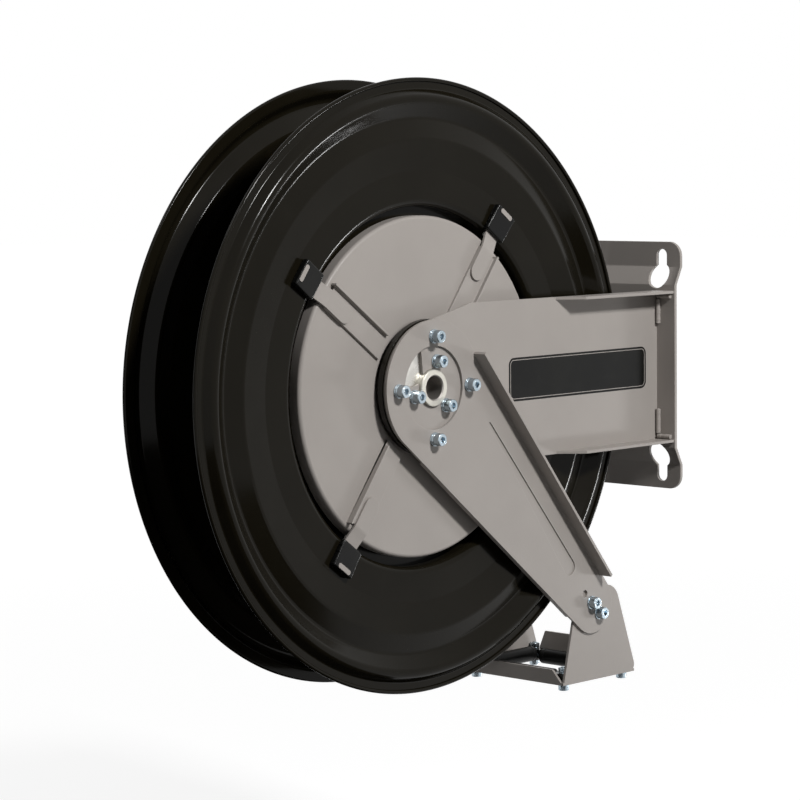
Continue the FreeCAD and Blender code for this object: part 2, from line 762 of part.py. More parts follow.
floor_top = S["tray_floor"] + S["fold_steel"]
hose_guide = new_body("hose_guide")
floor = new_sketch(hose_guide, "XY_Plane", S["tray_floor"])
box_outline(floor, -S["web_face"], S["web_face"], S["tray_front"], S["tray_back"])
pad(hose_guide, floor, S["fold_steel"])
for across, front, back in (("tray_cross_x", "tray_cross_front", "tray_cross_back"),
                            ("tray_side_x", "tray_side_front", "tray_side_back")):
    window = new_sketch(hose_guide, "XY_Plane", floor_top)
    box_outline(window, -S[across], S[across], S[front], S[back])
    pocket(hose_guide, window, S["fold_steel"])
foot = S["side_foot_round"]
side_stops = [(S["tray_front"] + 1.0, S["tray_floor"]),
              (S["tray_back"] - foot, S["tray_floor"] + foot, foot),
              (S["side_top_y"], S["side_top_z"], S["side_top_round"]),
              (236.0, -238.0), (222.0, -262.0)]
for face in (S["web_face"] - S["fold_steel"], -S["web_face"]):
    side = new_sketch(hose_guide, "YZ_Plane", face)
    outline(side, side_stops)
    pad(hose_guide, side, S["fold_steel"])
for low, tall in ((S["tray_front"], S["tray_front_height"]),
                  (S["tray_back"] - S["fold_steel"], S["tray_back_height"])):
    wall = new_sketch(hose_guide, "XZ_Plane", -low)
    outline(wall, [(-S["web_face"] + 1.0, S["tray_floor"]), (S["web_face"] - 1.0, S["tray_floor"]),
                   (S["web_face"] - 4.0, floor_top), (S["web_face"] - 16.0, S["tray_floor"] + tall),
                   (-S["web_face"] + 16.0, S["tray_floor"] + tall), (-S["web_face"] + 4.0, floor_top)])
    feature = pad(hose_guide, wall, S["fold_steel"])
    feature.Reversed = True
    doc.recompute()
corner_places = [(side * S["corner_screw_x"], y) for side in (-1, 1)
                 for y in (S["corner_front"], S["corner_rear"])]
holes = new_sketch(hose_guide, "XY_Plane", floor_top)
for x, y in corner_places:
    circle(holes, x, y, S["screw_radius"] - 1.0 + S["screw_room"])
pocket(hose_guide, holes, S["fold_steel"])
holes = new_sketch(hose_guide, "YZ_Plane")
for y, z in guide_places:
    circle(holes, y, z, screw_hole)
pocket(hose_guide, holes, both_ways=True)

# corner blocks hold the roller pins; a screw from below and a nut hold each block
block_half = S["corner_block"] / 2
corner_blocks, corner_screws, corner_nuts, corner_washers = [], [], [], []
thin = float(S["screw_radius"]) - 1.0
for x, y in corner_places:
    side = 1 if float(x) > 0 else -1
    low = Vector(float(x) - float(block_half) if side < 0 else float(S["side_roller_x"]) - 5.0,
                 float(y) - float(block_half), float(floor_top))
    wide = abs(float(S["web_face"]) - float(S["fold_steel"]) - float(S["side_roller_x"]) + 5.0)
    if side < 0:
        low.x = -float(S["web_face"]) + float(S["fold_steel"])
    block = Part.makeBox(wide, float(S["corner_block"]), float(S["corner_block_height"]), low)
    middle = Vector(float(x), float(y), float(floor_top))
    block = block.cut(Part.makeCylinder(thin + 0.3, 60, middle - Vector(0, 0, 5)))
    corner_blocks.append(block)
    under = float(S["tray_floor"])
    shank = tube_shape(Vector(float(x), float(y), under), Vector(0, 0, 1),
                       float(S["corner_block_height"]) + float(S["fold_steel"]) + 7.5, thin)
    head = tube_shape(Vector(float(x), float(y), under - 7.0), Vector(0, 0, 1), 7.0, 5.8)
    key = hexagon_shape(5.0, 4.0)
    key.rotate(Vector(0, 0, 0), Vector(0, 1, 0), -90)
    key.translate(Vector(float(x), float(y), under - 7.0))
    corner_screws.append(head.fuse(shank).removeSplitter().cut(key))
    top = float(floor_top) + float(S["corner_block_height"])
    washer = tube_shape(Vector(float(x), float(y), top), Vector(0, 0, 1), S["corner_washer_steel"],
                        S["corner_washer_radius"], thin + 0.2)
    corner_washers.append(washer)
    nut = hexagon_shape(10.0, 5.2)
    nut.rotate(Vector(0, 0, 0), Vector(0, 1, 0), -90)
    nut.translate(Vector(float(x), float(y), top + float(S["corner_washer_steel"])))
    corner_nuts.append(nut.cut(Part.makeCylinder(thin + 0.05, 30, Vector(float(x), float(y), top))))

# rollers and their pins
block_face_x = S["side_roller_x"] - 5.0
block_face_front = S["corner_front"] + block_half
block_face_rear = S["corner_rear"] - block_half


def roller_body(name, along_x, low, high, other, height):
    """Roller with mitred ends; LOW and HIGH are its ends along its own axis."""
    body = doc.addObject("PartDesign::Body", name)
    body.Label = name
    length = high - low
    nose = S["roller_radius"] - S["roller_nose"]
    sketch = new_sketch(body, "XY_Plane")
    outline(sketch, [(-length / 2, S["roller_bore"]), (length / 2, S["roller_bore"]),
                     (length / 2, S["roller_nose"]), (length / 2 - nose, S["roller_radius"]),
                     (nose - length / 2, S["roller_radius"]), (-length / 2, S["roller_nose"])])
    turn(body, sketch)
    middle = (low + high) / 2
    x, y = (middle, other) if along_x else (other, middle)
    if not along_x:
        body.Placement = FreeCAD.Placement(Vector(0, 0, 0), FreeCAD.Rotation(Vector(0, 0, 1), 90))
    body.setExpression("Placement.Base.x", x.text)
    body.setExpression("Placement.Base.y", (y - S["axle_to_wall"]).text)
    body.setExpression("Placement.Base.z", height.text)
    doc.recompute()
    return body


gap = S["roller_end_gap"]
roller_body("roller_front", True, -block_face_x + gap, block_face_x - gap,
            S["cross_roller_front"], S["cross_roller_height"])
roller_body("roller_rear", True, -block_face_x + gap, block_face_x - gap,
            S["cross_roller_rear"], S["cross_roller_height"])
roller_body("roller_inlet_side", False, block_face_front + gap, block_face_rear - gap,
            S["side_roller_x"], S["side_roller_height"])
roller_body("roller_far_side", False, block_face_front + gap, block_face_rear - gap,
            -S["side_roller_x"], S["side_roller_height"])

pin = float(S["pin_radius"])
hold = float(S["pin_in_block"])
cross_pins, side_pins = [], []
for y in (S["cross_roller_front"], S["cross_roller_rear"]):
    begin = Vector(-float(block_face_x) - hold, float(y), float(S["cross_roller_height"]))
    cross_pins.append(tube_shape(begin, Vector(1, 0, 0), 2 * (float(block_face_x) + hold), pin))
for side in (-1, 1):
    begin = Vector(side * float(S["side_roller_x"]), float(block_face_front) - hold,
                   float(S["side_roller_height"]))
    length = float(block_face_rear) - float(block_face_front) + 2 * hold
    side_pins.append(tube_shape(begin, Vector(0, 1, 0), length, pin))
for index, block in enumerate(corner_blocks):
    for rod in cross_pins + side_pins:
        block = block.cut(rod)
    corner_blocks[index] = block
group("corner_blocks", corner_blocks)
group("corner_screws", corner_screws)
group("corner_washers", corner_washers)
group("corner_nuts", corner_nuts)
group("cross_roller_pins", cross_pins)
group("side_roller_pins", side_pins)

# ---------------------------------------------------------------- drum flanges

drum = S["drum_offset"]
face = S["drum_face"]
flange_face = face - S["drum_steel"] / 2      # middle line of the flange sheet
near_flange = new_body("drum_flange_inlet", drum)
profile = new_sketch(near_flange, "XY_Plane")
bent_sheet(profile, (size(0.0), S["core_radius"], "a"), [
    (flange_face - 7.0, S["core_radius"] + 7.0, 7.0),
    (flange_face + 10.0, size(220.0), -10.0),
    (flange_face - 4.0, size(252.0), 8.0),
    (flange_face + 4.0, size(273.0), -6.0),
    (flange_face + 1.5, size(292.0), 7.0),
    (flange_face + 4.0, size(304.5), -4.0),
], (flange_face, S["drum_lip_radius"] - S["lip_bead"], "b"), S["drum_steel"])
turn(near_flange, profile)
bead = new_sketch(near_flange, "XY_Plane")
circle(bead, flange_face, S["drum_lip_radius"] - S["lip_bead"], S["lip_bead"])
turn(near_flange, bead)

far_pressing = mirror("far_pressing", near_flange, drum)
doc.recompute()

outlet_way = Vector(0, float(cosine(S["outlet_turn"])), float(sine(S["outlet_turn"])))


def bored_for_hose(name, source, start, length, radius):
    """The piece SOURCE with a radial hole where the hose outlet passes."""
    drill = doc.addObject("Part::Cylinder", name + "_drill")
    drill.setExpression("Radius", size(radius).text)
    drill.setExpression("Height", size(length).text)
    y, z = polar(start, S["outlet_turn"])
    drill.Placement.Rotation = FreeCAD.Rotation(Vector(0, 0, 1), outlet_way)
    drill.setExpression("Placement.Base.x", outlet_world.text)
    drill.setExpression("Placement.Base.y", (y - S["axle_to_wall"]).text)
    drill.setExpression("Placement.Base.z", z.text)
    cut = doc.addObject("Part::Cut", name)
    cut.Label = name
    cut.Base = source
    cut.Tool = drill
    doc.recompute()
    return cut


bored_for_hose("drum_flange_far", far_pressing, S["core_radius"] - 20.0, 40.0, S["pipe_radius"] + 0.1)

# ---------------------------------------------------------------- side discs and spring case

half = S["disc_steel"] / 2
side_face = face - half
near_disc = new_body("side_disc_inlet", drum)
profile = new_sketch(near_disc, "XY_Plane")
floor_x = side_face - S["recess_depth"]
bent_sheet(profile, (floor_x, S["boss_radius"] - 1.0, "b"), [
    (floor_x + 5.0, S["recess_radius"] - 5.0, -5.0),
    (side_face - 5.0, S["recess_radius"] + 5.0, 5.0),
    (side_face - 5.0, S["disc_radius"] - half - 5.0, 5.0),
], (face - 14.0, S["disc_radius"] - half, "-a"), S["disc_steel"])
turn(near_disc, profile)
boss = new_sketch(near_disc, "XY_Plane")
box_outline(boss, face - 20.0, face - 4.0, S["boss_bore"], S["boss_radius"])
turn(near_disc, boss)

far_disc = new_body("side_disc_far", drum)
profile = new_sketch(far_disc, "XY_Plane")
bent_sheet(profile, (-floor_x, S["boss_radius"] - 1.0, "b"), [
    (-floor_x - 5.0, S["recess_radius"] - 5.0, 5.0),
    (5.0 - side_face, S["recess_radius"] + 5.0, -5.0),
    (5.0 - side_face, S["disc_radius"] - half - 5.0, -5.0),
], (14.0 - face, S["disc_radius"] - half, "a"), S["disc_steel"])
turn(far_disc, profile)
far_boss_end = web_back - S["hub_flange_steel"] + drum - 3.5
far_boss_start = S["swivel_far"] - 1.0
boss = new_sketch(far_disc, "XY_Plane")
box_outline(boss, -far_boss_end, far_boss_start, S["boss_bore"], S["boss_radius"])
turn(far_disc, boss)

case_pressing = new_body("case_pressing", drum)
profile = new_sketch(case_pressing, "XY_Plane")
case_inner = S["disc_radius"] - S["disc_steel"] - S["case_steel"]
box_outline(profile, -face + 6.0, face - 6.0, case_inner, case_inner + S["case_steel"])
turn(case_pressing, profile)
half_divider = S["case_divider"] / 2
half_rim = S["case_steel"] / 2
for rim_x in (S["case_rim_x"], -S["case_rim_x"]):
    profile = new_sketch(case_pressing, "XY_Plane")
    box_outline(profile, rim_x - half_rim, rim_x + half_rim, case_inner + 0.5,
                S["core_radius"] - S["drum_steel"] / 2 - 0.1)
    turn(case_pressing, profile)
profile = new_sketch(case_pressing, "XY_Plane")
box_outline(profile, -half_divider, half_divider, S["boss_bore"], case_inner + 0.5)
turn(case_pressing, profile)
swivel_places = screw_places(S["swivel_screw_circle"], size(30.0), 3)
holes = new_sketch(case_pressing, "YZ_Plane", half_divider)
for y, z in swivel_places:
    circle(holes, y, z, S["swivel_screw_radius"] + S["thread_room"])
pocket(case_pressing, holes, S["case_divider"])
bored_for_hose("spring_case", case_pressing, case_inner - 10.0, 20.0, S["pipe_radius"] + 0.1)

# ---------------------------------------------------------------- spokes, straps and caps


def at_spoke(number):
    return float(S["spoke_turn"]) + 90.0 * number


def spoke_shape():
    """Spoke along +Y on the disc face, its folded edge on the -Z side."""
    start, end = float(S["spoke_start"]), float(S["spoke_end"])
    half_width, steel = float(S["spoke_width"]) / 2, float(S["spoke_steel"])
    bar = Part.makeBox(steel, end - start, 2 * half_width, Vector(float(face), start, -half_width))
    fold_height = float(S["spoke_fold"])
    fold = Part.makeBox(steel + fold_height, end - start - 10, 2.4,
                        Vector(float(face), start + 6, -half_width))
    return bar.fuse(fold).removeSplitter()


def strap_shape():
    """Strap that runs from the spoke down to the drum flange, with a round inner end."""
    base = float(face)
    rise, steel = float(S["spoke_steel"]), float(S["strap_steel"])
    start, end = float(S["strap_start"]), float(S["strap_end"])
    wide, shift = float(S["strap_width"]), float(S["strap_shift"])
    bend = float(S["spoke_end"]) + float(S["strap_bend"])
    foot = bend + float(S["strap_drop"])
    side = [(base + rise, start), (base + rise, bend), (base, foot), (base, end),
            (base + steel, end), (base + steel, foot + 1), (base + rise + steel, bend + 1),
            (base + rise + steel, start), (base + rise, start)]
    points = [Vector(x, y, shift - wide / 2) for x, y in side]
    strap = Part.Face(Part.makePolygon(points)).extrude(Vector(0, 0, wide))
    keep = Part.makeBox(40, end, wide, Vector(base - 10, start + wide / 2, shift - wide / 2))
    nose = Part.makeCylinder(wide / 2, 40, Vector(base - 10, start + wide / 2, shift), Vector(1, 0, 0))
    return strap.common(keep.fuse(nose)).removeSplitter()


def cap_shape():
    """Moulded cap over the end of a strap, with soft edges and a slot for the strap."""
    base, low, high = float(face), float(S["cap_start"]), float(S["cap_end"])
    wide, tall, shift = float(S["cap_width"]), float(S["cap_height"]), float(S["strap_shift"])
    side = [(base, low), (base + tall - 2.5, low), (base + tall, low + 3.0), (base + tall, high - 4.0),
            (base + tall - 3.0, high), (base, high), (base, low)]
    points = [Vector(x, y, shift - wide / 2) for x, y in side]
    block = Part.Face(Part.makePolygon(points)).extrude(Vector(0, 0, wide))
    raised = [edge for edge in block.Edges if edge.BoundBox.XMax > base + 0.1]
    block = block.makeFillet(float(S["cap_round"]), raised)
    steel, room = float(S["strap_steel"]), 0.1
    slot = Part.makeBox(steel + room, high - low + 2, float(S["strap_width"]) + 2 * room,
                        Vector(base, low - 1, shift - float(S["strap_width"]) / 2 - room))
    return block.cut(slot)


def around(shape, flip=False):
    """Four copies round the axle, on the inlet side or mirrored to the far side."""
    if flip:
        shape = shape.mirror(Vector(0, 0, 0), Vector(1, 0, 0))
    return [moved(shape, turn_angle=at_spoke(number)) for number in range(4)]


for flip, side in ((False, "inlet"), (True, "far")):
    group("spokes_" + side, around(spoke_shape(), flip), drum)
    group("straps_" + side, around(strap_shape(), flip), drum)
    group("end_caps_" + side, around(cap_shape(), flip), drum)

# ---------------------------------------------------------------- bushes, spring, swivel, outlet

ring_body("bush_inlet", drum, face - 20.0, face - 4.0,
          S["axle_radius"] + S["running_room"], S["boss_bore"])
ring_body("bush_far", drum, -far_boss_end, far_boss_start,
          S["axle_radius"] + S["running_room"], S["boss_bore"])
ring_body("thrust_ring_inlet", 0.0, drum + face - 3.9, flange_back, S["axle_radius"] + 0.05,
          S["boss_bore"] - 1.0)
ring_body("thrust_ring_far", 0.0, -flange_back, drum - far_boss_end - 0.1, S["axle_radius"] + 0.05,
          S["boss_bore"] - 1.0)


def spiral_strip(first, last, turns, steel, width, x_low):
    """Flat spiral spring made of half circles that widen evenly."""
    halves = int(2 * turns)
    growth = (last - first) / halves
    outside, inside = [], []
    radius, centre = first, 0.0
    for number in range(halves):
        sign = 1 if number % 2 == 0 else -1
        for rim, path in ((radius + steel / 2, outside), (radius - steel / 2, inside)):
            path.append(Part.Arc(Vector(0, centre + sign * rim, 0), Vector(0, centre, sign * rim),
                                 Vector(0, centre - sign * rim, 0)).toShape())
        radius += growth
        centre += sign * growth
    last_sign = 1 if halves % 2 == 0 else -1
    ends = [Part.makeLine(inside[0].Vertexes[0].Point, outside[0].Vertexes[0].Point),
            Part.makeLine(inside[-1].Vertexes[-1].Point, outside[-1].Vertexes[-1].Point)]
    wire = Part.Wire(Part.__sortEdges__(outside + inside + ends))
    strip = Part.Face(wire).extrude(Vector(width, 0, 0))
    strip.translate(Vector(x_low, 0, 0))
    return strip


spring = spiral_strip(float(S["axle_radius"]) + 0.75, float(case_inner) - 0.7, float(S["spring_turns"]),
                      float(S["spring_steel"]), float(S["spring_width"]), 3.0)
group("main_spring", [spring], drum)

key_half = float(S["spring_key"]) / 2
key_top = float(S["axle_radius"]) + 0.2
anchor = Part.makeBox(float(S["spring_width"]), 2 * key_half, float(S["spring_key_height"]),
                      Vector(float(spring_near), -key_half, key_top - float(S["spring_key_height"])))
group("spring_anchor", [anchor])

swivel = new_body("swivel_casting", drum)
profile = new_sketch(swivel, "XY_Plane")
inner = S["axle_radius"] + S["running_room"]
outline(profile, [(S["swivel_far"], inner), (S["outlet_x"] - 6.0, inner), (S["outlet_x"] - 6.0, inner + 3.0),
                  (S["outlet_x"] + 6.0, inner + 3.0), (S["outlet_x"] + 6.0, inner), (S["swivel_near"], inner),
                  (S["swivel_near"], S["swivel_radius"] + 8.0),
                  (S["swivel_near"] - S["swivel_flange"], S["swivel_radius"] + 8.0),
                  (S["swivel_near"] - S["swivel_flange"], S["swivel_radius"]), (S["swivel_far"], S["swivel_radius"])])
turn(swivel, profile)
holes = new_sketch(swivel, "YZ_Plane", S["swivel_near"])
for y, z in swivel_places:
    circle(holes, y, z, S["swivel_screw_radius"] + S["screw_room"])
pocket(swivel, holes, S["swivel_flange"])
bored_for_hose("swivel_body", swivel, 10.0, 50.0, S["pipe_radius"] + 0.02)

head_back = float(S["swivel_near"] - S["swivel_flange"] - S["swivel_head_length"])
swivel_screws = []
for y, z in swivel_places:
    start = Vector(head_back, 0, 0)
    small = tube_shape(start, Vector(1, 0, 0), S["swivel_head_length"], S["swivel_head_radius"])
    shank = tube_shape(start, Vector(1, 0, 0), half_divider - head_back, S["swivel_screw_radius"])
    small = small.fuse(shank).removeSplitter().cut(hexagon_shape(2.5, 2.0).translated(start))
    swivel_screws.append(moved(small, 0, y, z))
group("swivel_screws", swivel_screws, drum)

seals = []
for x in seal_places:
    seals.append(Part.makeTorus(float(S["axle_radius"]) - 1.3, 1.25, Vector(float(x), 0, 0), Vector(1, 0, 0)))
group("swivel_seals", seals)


def on_way(distance):
    """Point on the centre line of the hose outlet."""
    return Vector(float(S["outlet_x"]), 0, 0) + outlet_way * float(distance)


pipe_start = S["swivel_radius"] - 7.0
pipe_end = S["core_radius"] + 8.5
pipe = tube_shape(on_way(pipe_start), outlet_way, pipe_end - pipe_start, S["pipe_radius"], S["pipe_bore"])
group("outlet_pipe", [pipe], drum)

# female hose coupling that stands in the winding channel
coupling = hexagon_shape(2 * S["nipple_radius"] - 4.0, S["nipple_length"])
coupling.rotate(Vector(0, 0, 0), Vector(0, 0, 1), 90)
coupling = coupling.fuse(Part.makeCylinder(float(S["nipple_radius"]) - 1.0, float(S["nipple_length"]) - 8.0,
                                           Vector(0, 8.0, 0), Vector(0, 1, 0)))
coupling = coupling.cut(Part.makeCylinder(float(S["pipe_radius"]) + 0.02, 9.0, Vector(0, 0, 0), Vector(0, 1, 0)))
coupling = coupling.cut(Part.makeCylinder(float(S["outlet_radius"]), 40.0, Vector(0, 8.0, 0), Vector(0, 1, 0)))
coupling = coupling.removeSplitter()
coupling.rotate(Vector(0, 0, 0), Vector(1, 0, 0), float(S["outlet_turn"]))
coupling.translate(on_way(S["core_radius"] + 1.5))
group("hose_coupling", [coupling], drum)

# ---------------------------------------------------------------- ratchet and pawl

wheel_far = -(far_boss_end - 0.5)
ratchet = new_body("ratchet_wheel", drum)
blank = new_sketch(ratchet, "YZ_Plane", wheel_far)
circle(blank, 0.0, 0.0, S["ratchet_root"])
pad(ratchet, blank, S["ratchet_steel"])
pitch = size(360.0) / S["ratchet_teeth"]
for number in range(int(float(S["ratchet_teeth"]))):
    tooth = new_sketch(ratchet, "YZ_Plane", wheel_far)
    start = pitch * number - 12.0
    outline(tooth, [polar(S["ratchet_root"] - 3.0, start), polar(S["ratchet_radius"], start + 1.0),
                    polar(S["ratchet_radius"], start + 5.0), polar(S["ratchet_root"] - 3.0, start + 20.0)])
    pad(ratchet, tooth, S["ratchet_steel"])
bore = new_sketch(ratchet, "YZ_Plane", wheel_far + S["ratchet_steel"])
circle(bore, 0.0, 0.0, S["boss_radius"])
pocket(ratchet, bore, S["ratchet_steel"])

pawl = doc.addObject("PartDesign::Body", "pawl")
pawl.Label = "pawl"
arm = new_sketch(pawl, "YZ_Plane")
outline(arm, [(0.0, 0.0, S["pawl_eye"]), (-12.0, S["pawl_reach"] - 3.0, 3.0)])
pad(pawl, arm, S["ratchet_steel"])
hole = new_sketch(pawl, "YZ_Plane", S["ratchet_steel"])
circle(hole, 0.0, 0.0, S["pawl_pin_radius"] + 0.05)
pocket(pawl, hole, S["ratchet_steel"])
pawl.setExpression("Placement.Base.x", (drum + wheel_far).text)
pawl.setExpression("Placement.Base.y", (S["pawl_pivot_y"] - S["axle_to_wall"]).text)

far_web = -float(web_back)
pin_end = float(drum + wheel_far + S["ratchet_steel"]) + 1.5
pivot = tube_shape(Vector(far_web, float(S["pawl_pivot_y"]), 0), Vector(1, 0, 0), pin_end - far_web,
                   S["pawl_pin_radius"])
clip = tube_shape(Vector(pin_end - 1.4, float(S["pawl_pivot_y"]), 0), Vector(1, 0, 0), 1.0,
                  float(S["pawl_pin_radius"]) + 2.5, float(S["pawl_pin_radius"]))
group("pawl_pin", [pivot])
group("pawl_clip", [clip])

coil = spiral_strip(float(S["pawl_pin_radius"]) + float(S["pawl_spring_steel"]) / 2 + 0.25,
                    float(S["pawl_spring_radius"]), float(S["pawl_spring_turns"]),
                    float(S["pawl_spring_steel"]), float(S["pawl_spring_width"]),
                    float(drum + wheel_far) - float(S["pawl_spring_width"]) - 0.2)
coil.translate(Vector(0, float(S["pawl_pivot_y"]), 0))
group("pawl_spring", [coil])

doc.recompute()

# ---------------------------------------------------------------- check and write

NODES = [
    "wall_plate", "main_arm_inlet", "main_arm_far", "arm_welds", "hub_flange_inlet", "hub_flange_far",
    "hollow_axle", "guide_arm_inlet", "guide_arm_far", "hub_screws", "hub_washers", "hub_spring_washers",
    "guide_screws", "guide_washers", "guide_nuts", "hose_guide", "corner_blocks", "corner_screws",
    "corner_washers", "corner_nuts", "cross_roller_pins", "side_roller_pins", "roller_front",
    "roller_rear", "roller_inlet_side", "roller_far_side", "drum_flange_inlet", "drum_flange_far",
    "side_disc_inlet", "side_disc_far", "spring_case", "spokes_inlet", "straps_inlet",
    "end_caps_inlet", "spokes_far", "straps_far", "end_caps_far", "bush_inlet", "bush_far",
    "thrust_ring_inlet", "thrust_ring_far", "main_spring", "spring_anchor", "swivel_body", "swivel_screws",
    "swivel_seals", "outlet_pipe", "hose_coupling", "ratchet_wheel", "pawl", "pawl_pin", "pawl_clip",
    "pawl_spring",
]

for thing in doc.Objects:
    if "Invalid" in thing.State or "Error" in thing.State:
        raise RuntimeError("%s did not build: %s" % (thing.Label, thing.State))
for name in NODES:
    piece = doc.getObjectsByLabel(name)[0]
    if piece.Shape.isNull() or not piece.Shape.isValid():
        raise RuntimeError("%s has no valid shape" % name)
    piece.Shape.exportStep("parts/%s.step" % name)
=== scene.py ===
"""Spring-rewind hose reel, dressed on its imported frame.

World frame in metres: X along the axle towards the inlet side, Y into the wall,
Z up, origin at the middle of the wall plate on the wall face. Sizes of the
pieces are in millimetres. A piece that turns or repeats round the drum is
modelled round the X axis and then put in its place.
"""
import json
import logging
import math
from dataclasses import dataclass, field
from enum import Enum
from functools import cached_property
from typing import Callable, Sequence

import bmesh
import bpy
from mathutils import Matrix, Vector


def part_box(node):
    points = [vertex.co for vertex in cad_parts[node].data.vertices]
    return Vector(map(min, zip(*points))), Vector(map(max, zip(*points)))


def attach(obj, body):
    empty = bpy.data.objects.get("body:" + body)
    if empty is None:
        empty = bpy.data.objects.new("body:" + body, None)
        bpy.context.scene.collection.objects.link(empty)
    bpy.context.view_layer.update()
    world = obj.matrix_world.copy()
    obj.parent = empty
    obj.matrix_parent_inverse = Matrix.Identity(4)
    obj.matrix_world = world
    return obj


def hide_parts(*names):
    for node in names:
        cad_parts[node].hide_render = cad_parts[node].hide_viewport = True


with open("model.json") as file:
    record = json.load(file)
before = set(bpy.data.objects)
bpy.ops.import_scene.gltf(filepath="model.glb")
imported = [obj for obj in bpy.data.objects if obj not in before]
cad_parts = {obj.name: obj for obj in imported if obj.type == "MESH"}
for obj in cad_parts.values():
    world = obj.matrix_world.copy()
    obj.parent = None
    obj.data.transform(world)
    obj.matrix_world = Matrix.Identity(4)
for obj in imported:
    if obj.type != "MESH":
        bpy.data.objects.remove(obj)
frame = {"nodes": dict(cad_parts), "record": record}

LOG = logging.getLogger("hose_reel")
MM = 0.001
INLET, FAR = 1, -1


def middle_of(*nodes: str) -> Vector:
    """Middle of the box round some CAD nodes.

    Args:
        *nodes: names of the nodes.

    Returns:
        The point, in metres.
    """
    boxes = [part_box(node) for node in nodes]
    low = Vector([min(box[0][axis] for box in boxes) for axis in range(3)])
    high = Vector([max(box[1][axis] for box in boxes) for axis in range(3)])
    return (low + high) / 2


AXLE = middle_of("hollow_axle")
DRUM = middle_of("drum_flange_inlet", "drum_flange_far")


class Slot(Enum):
    """Material slots of the record."""

    GREY_PAINT = "grey_paint"
    DISC_PAINT = "disc_paint"
    BLACK_PAINT = "black_paint"
    ZINC = "zinc"
    BLACK_PLASTIC = "black_plastic"
    ROLLER_PLASTIC = "roller_plastic"
    MACHINED_STEEL = "machined_steel"
    HUB_FLANGE_STEEL = "hub_flange_steel"
    BRASS = "brass"
    BRONZE = "bronze"
    RUBBER = "rubber"
    SPRING_STEEL = "spring_steel"


class Pattern(Enum):
    """Fine texture worked into a surface."""

    ORANGE_PEEL = "orange_peel"
    TURNED = "turned"
    PLATED = "plated"
    MOULDED = "moulded"


# ---------------------------------------------------------------- materials


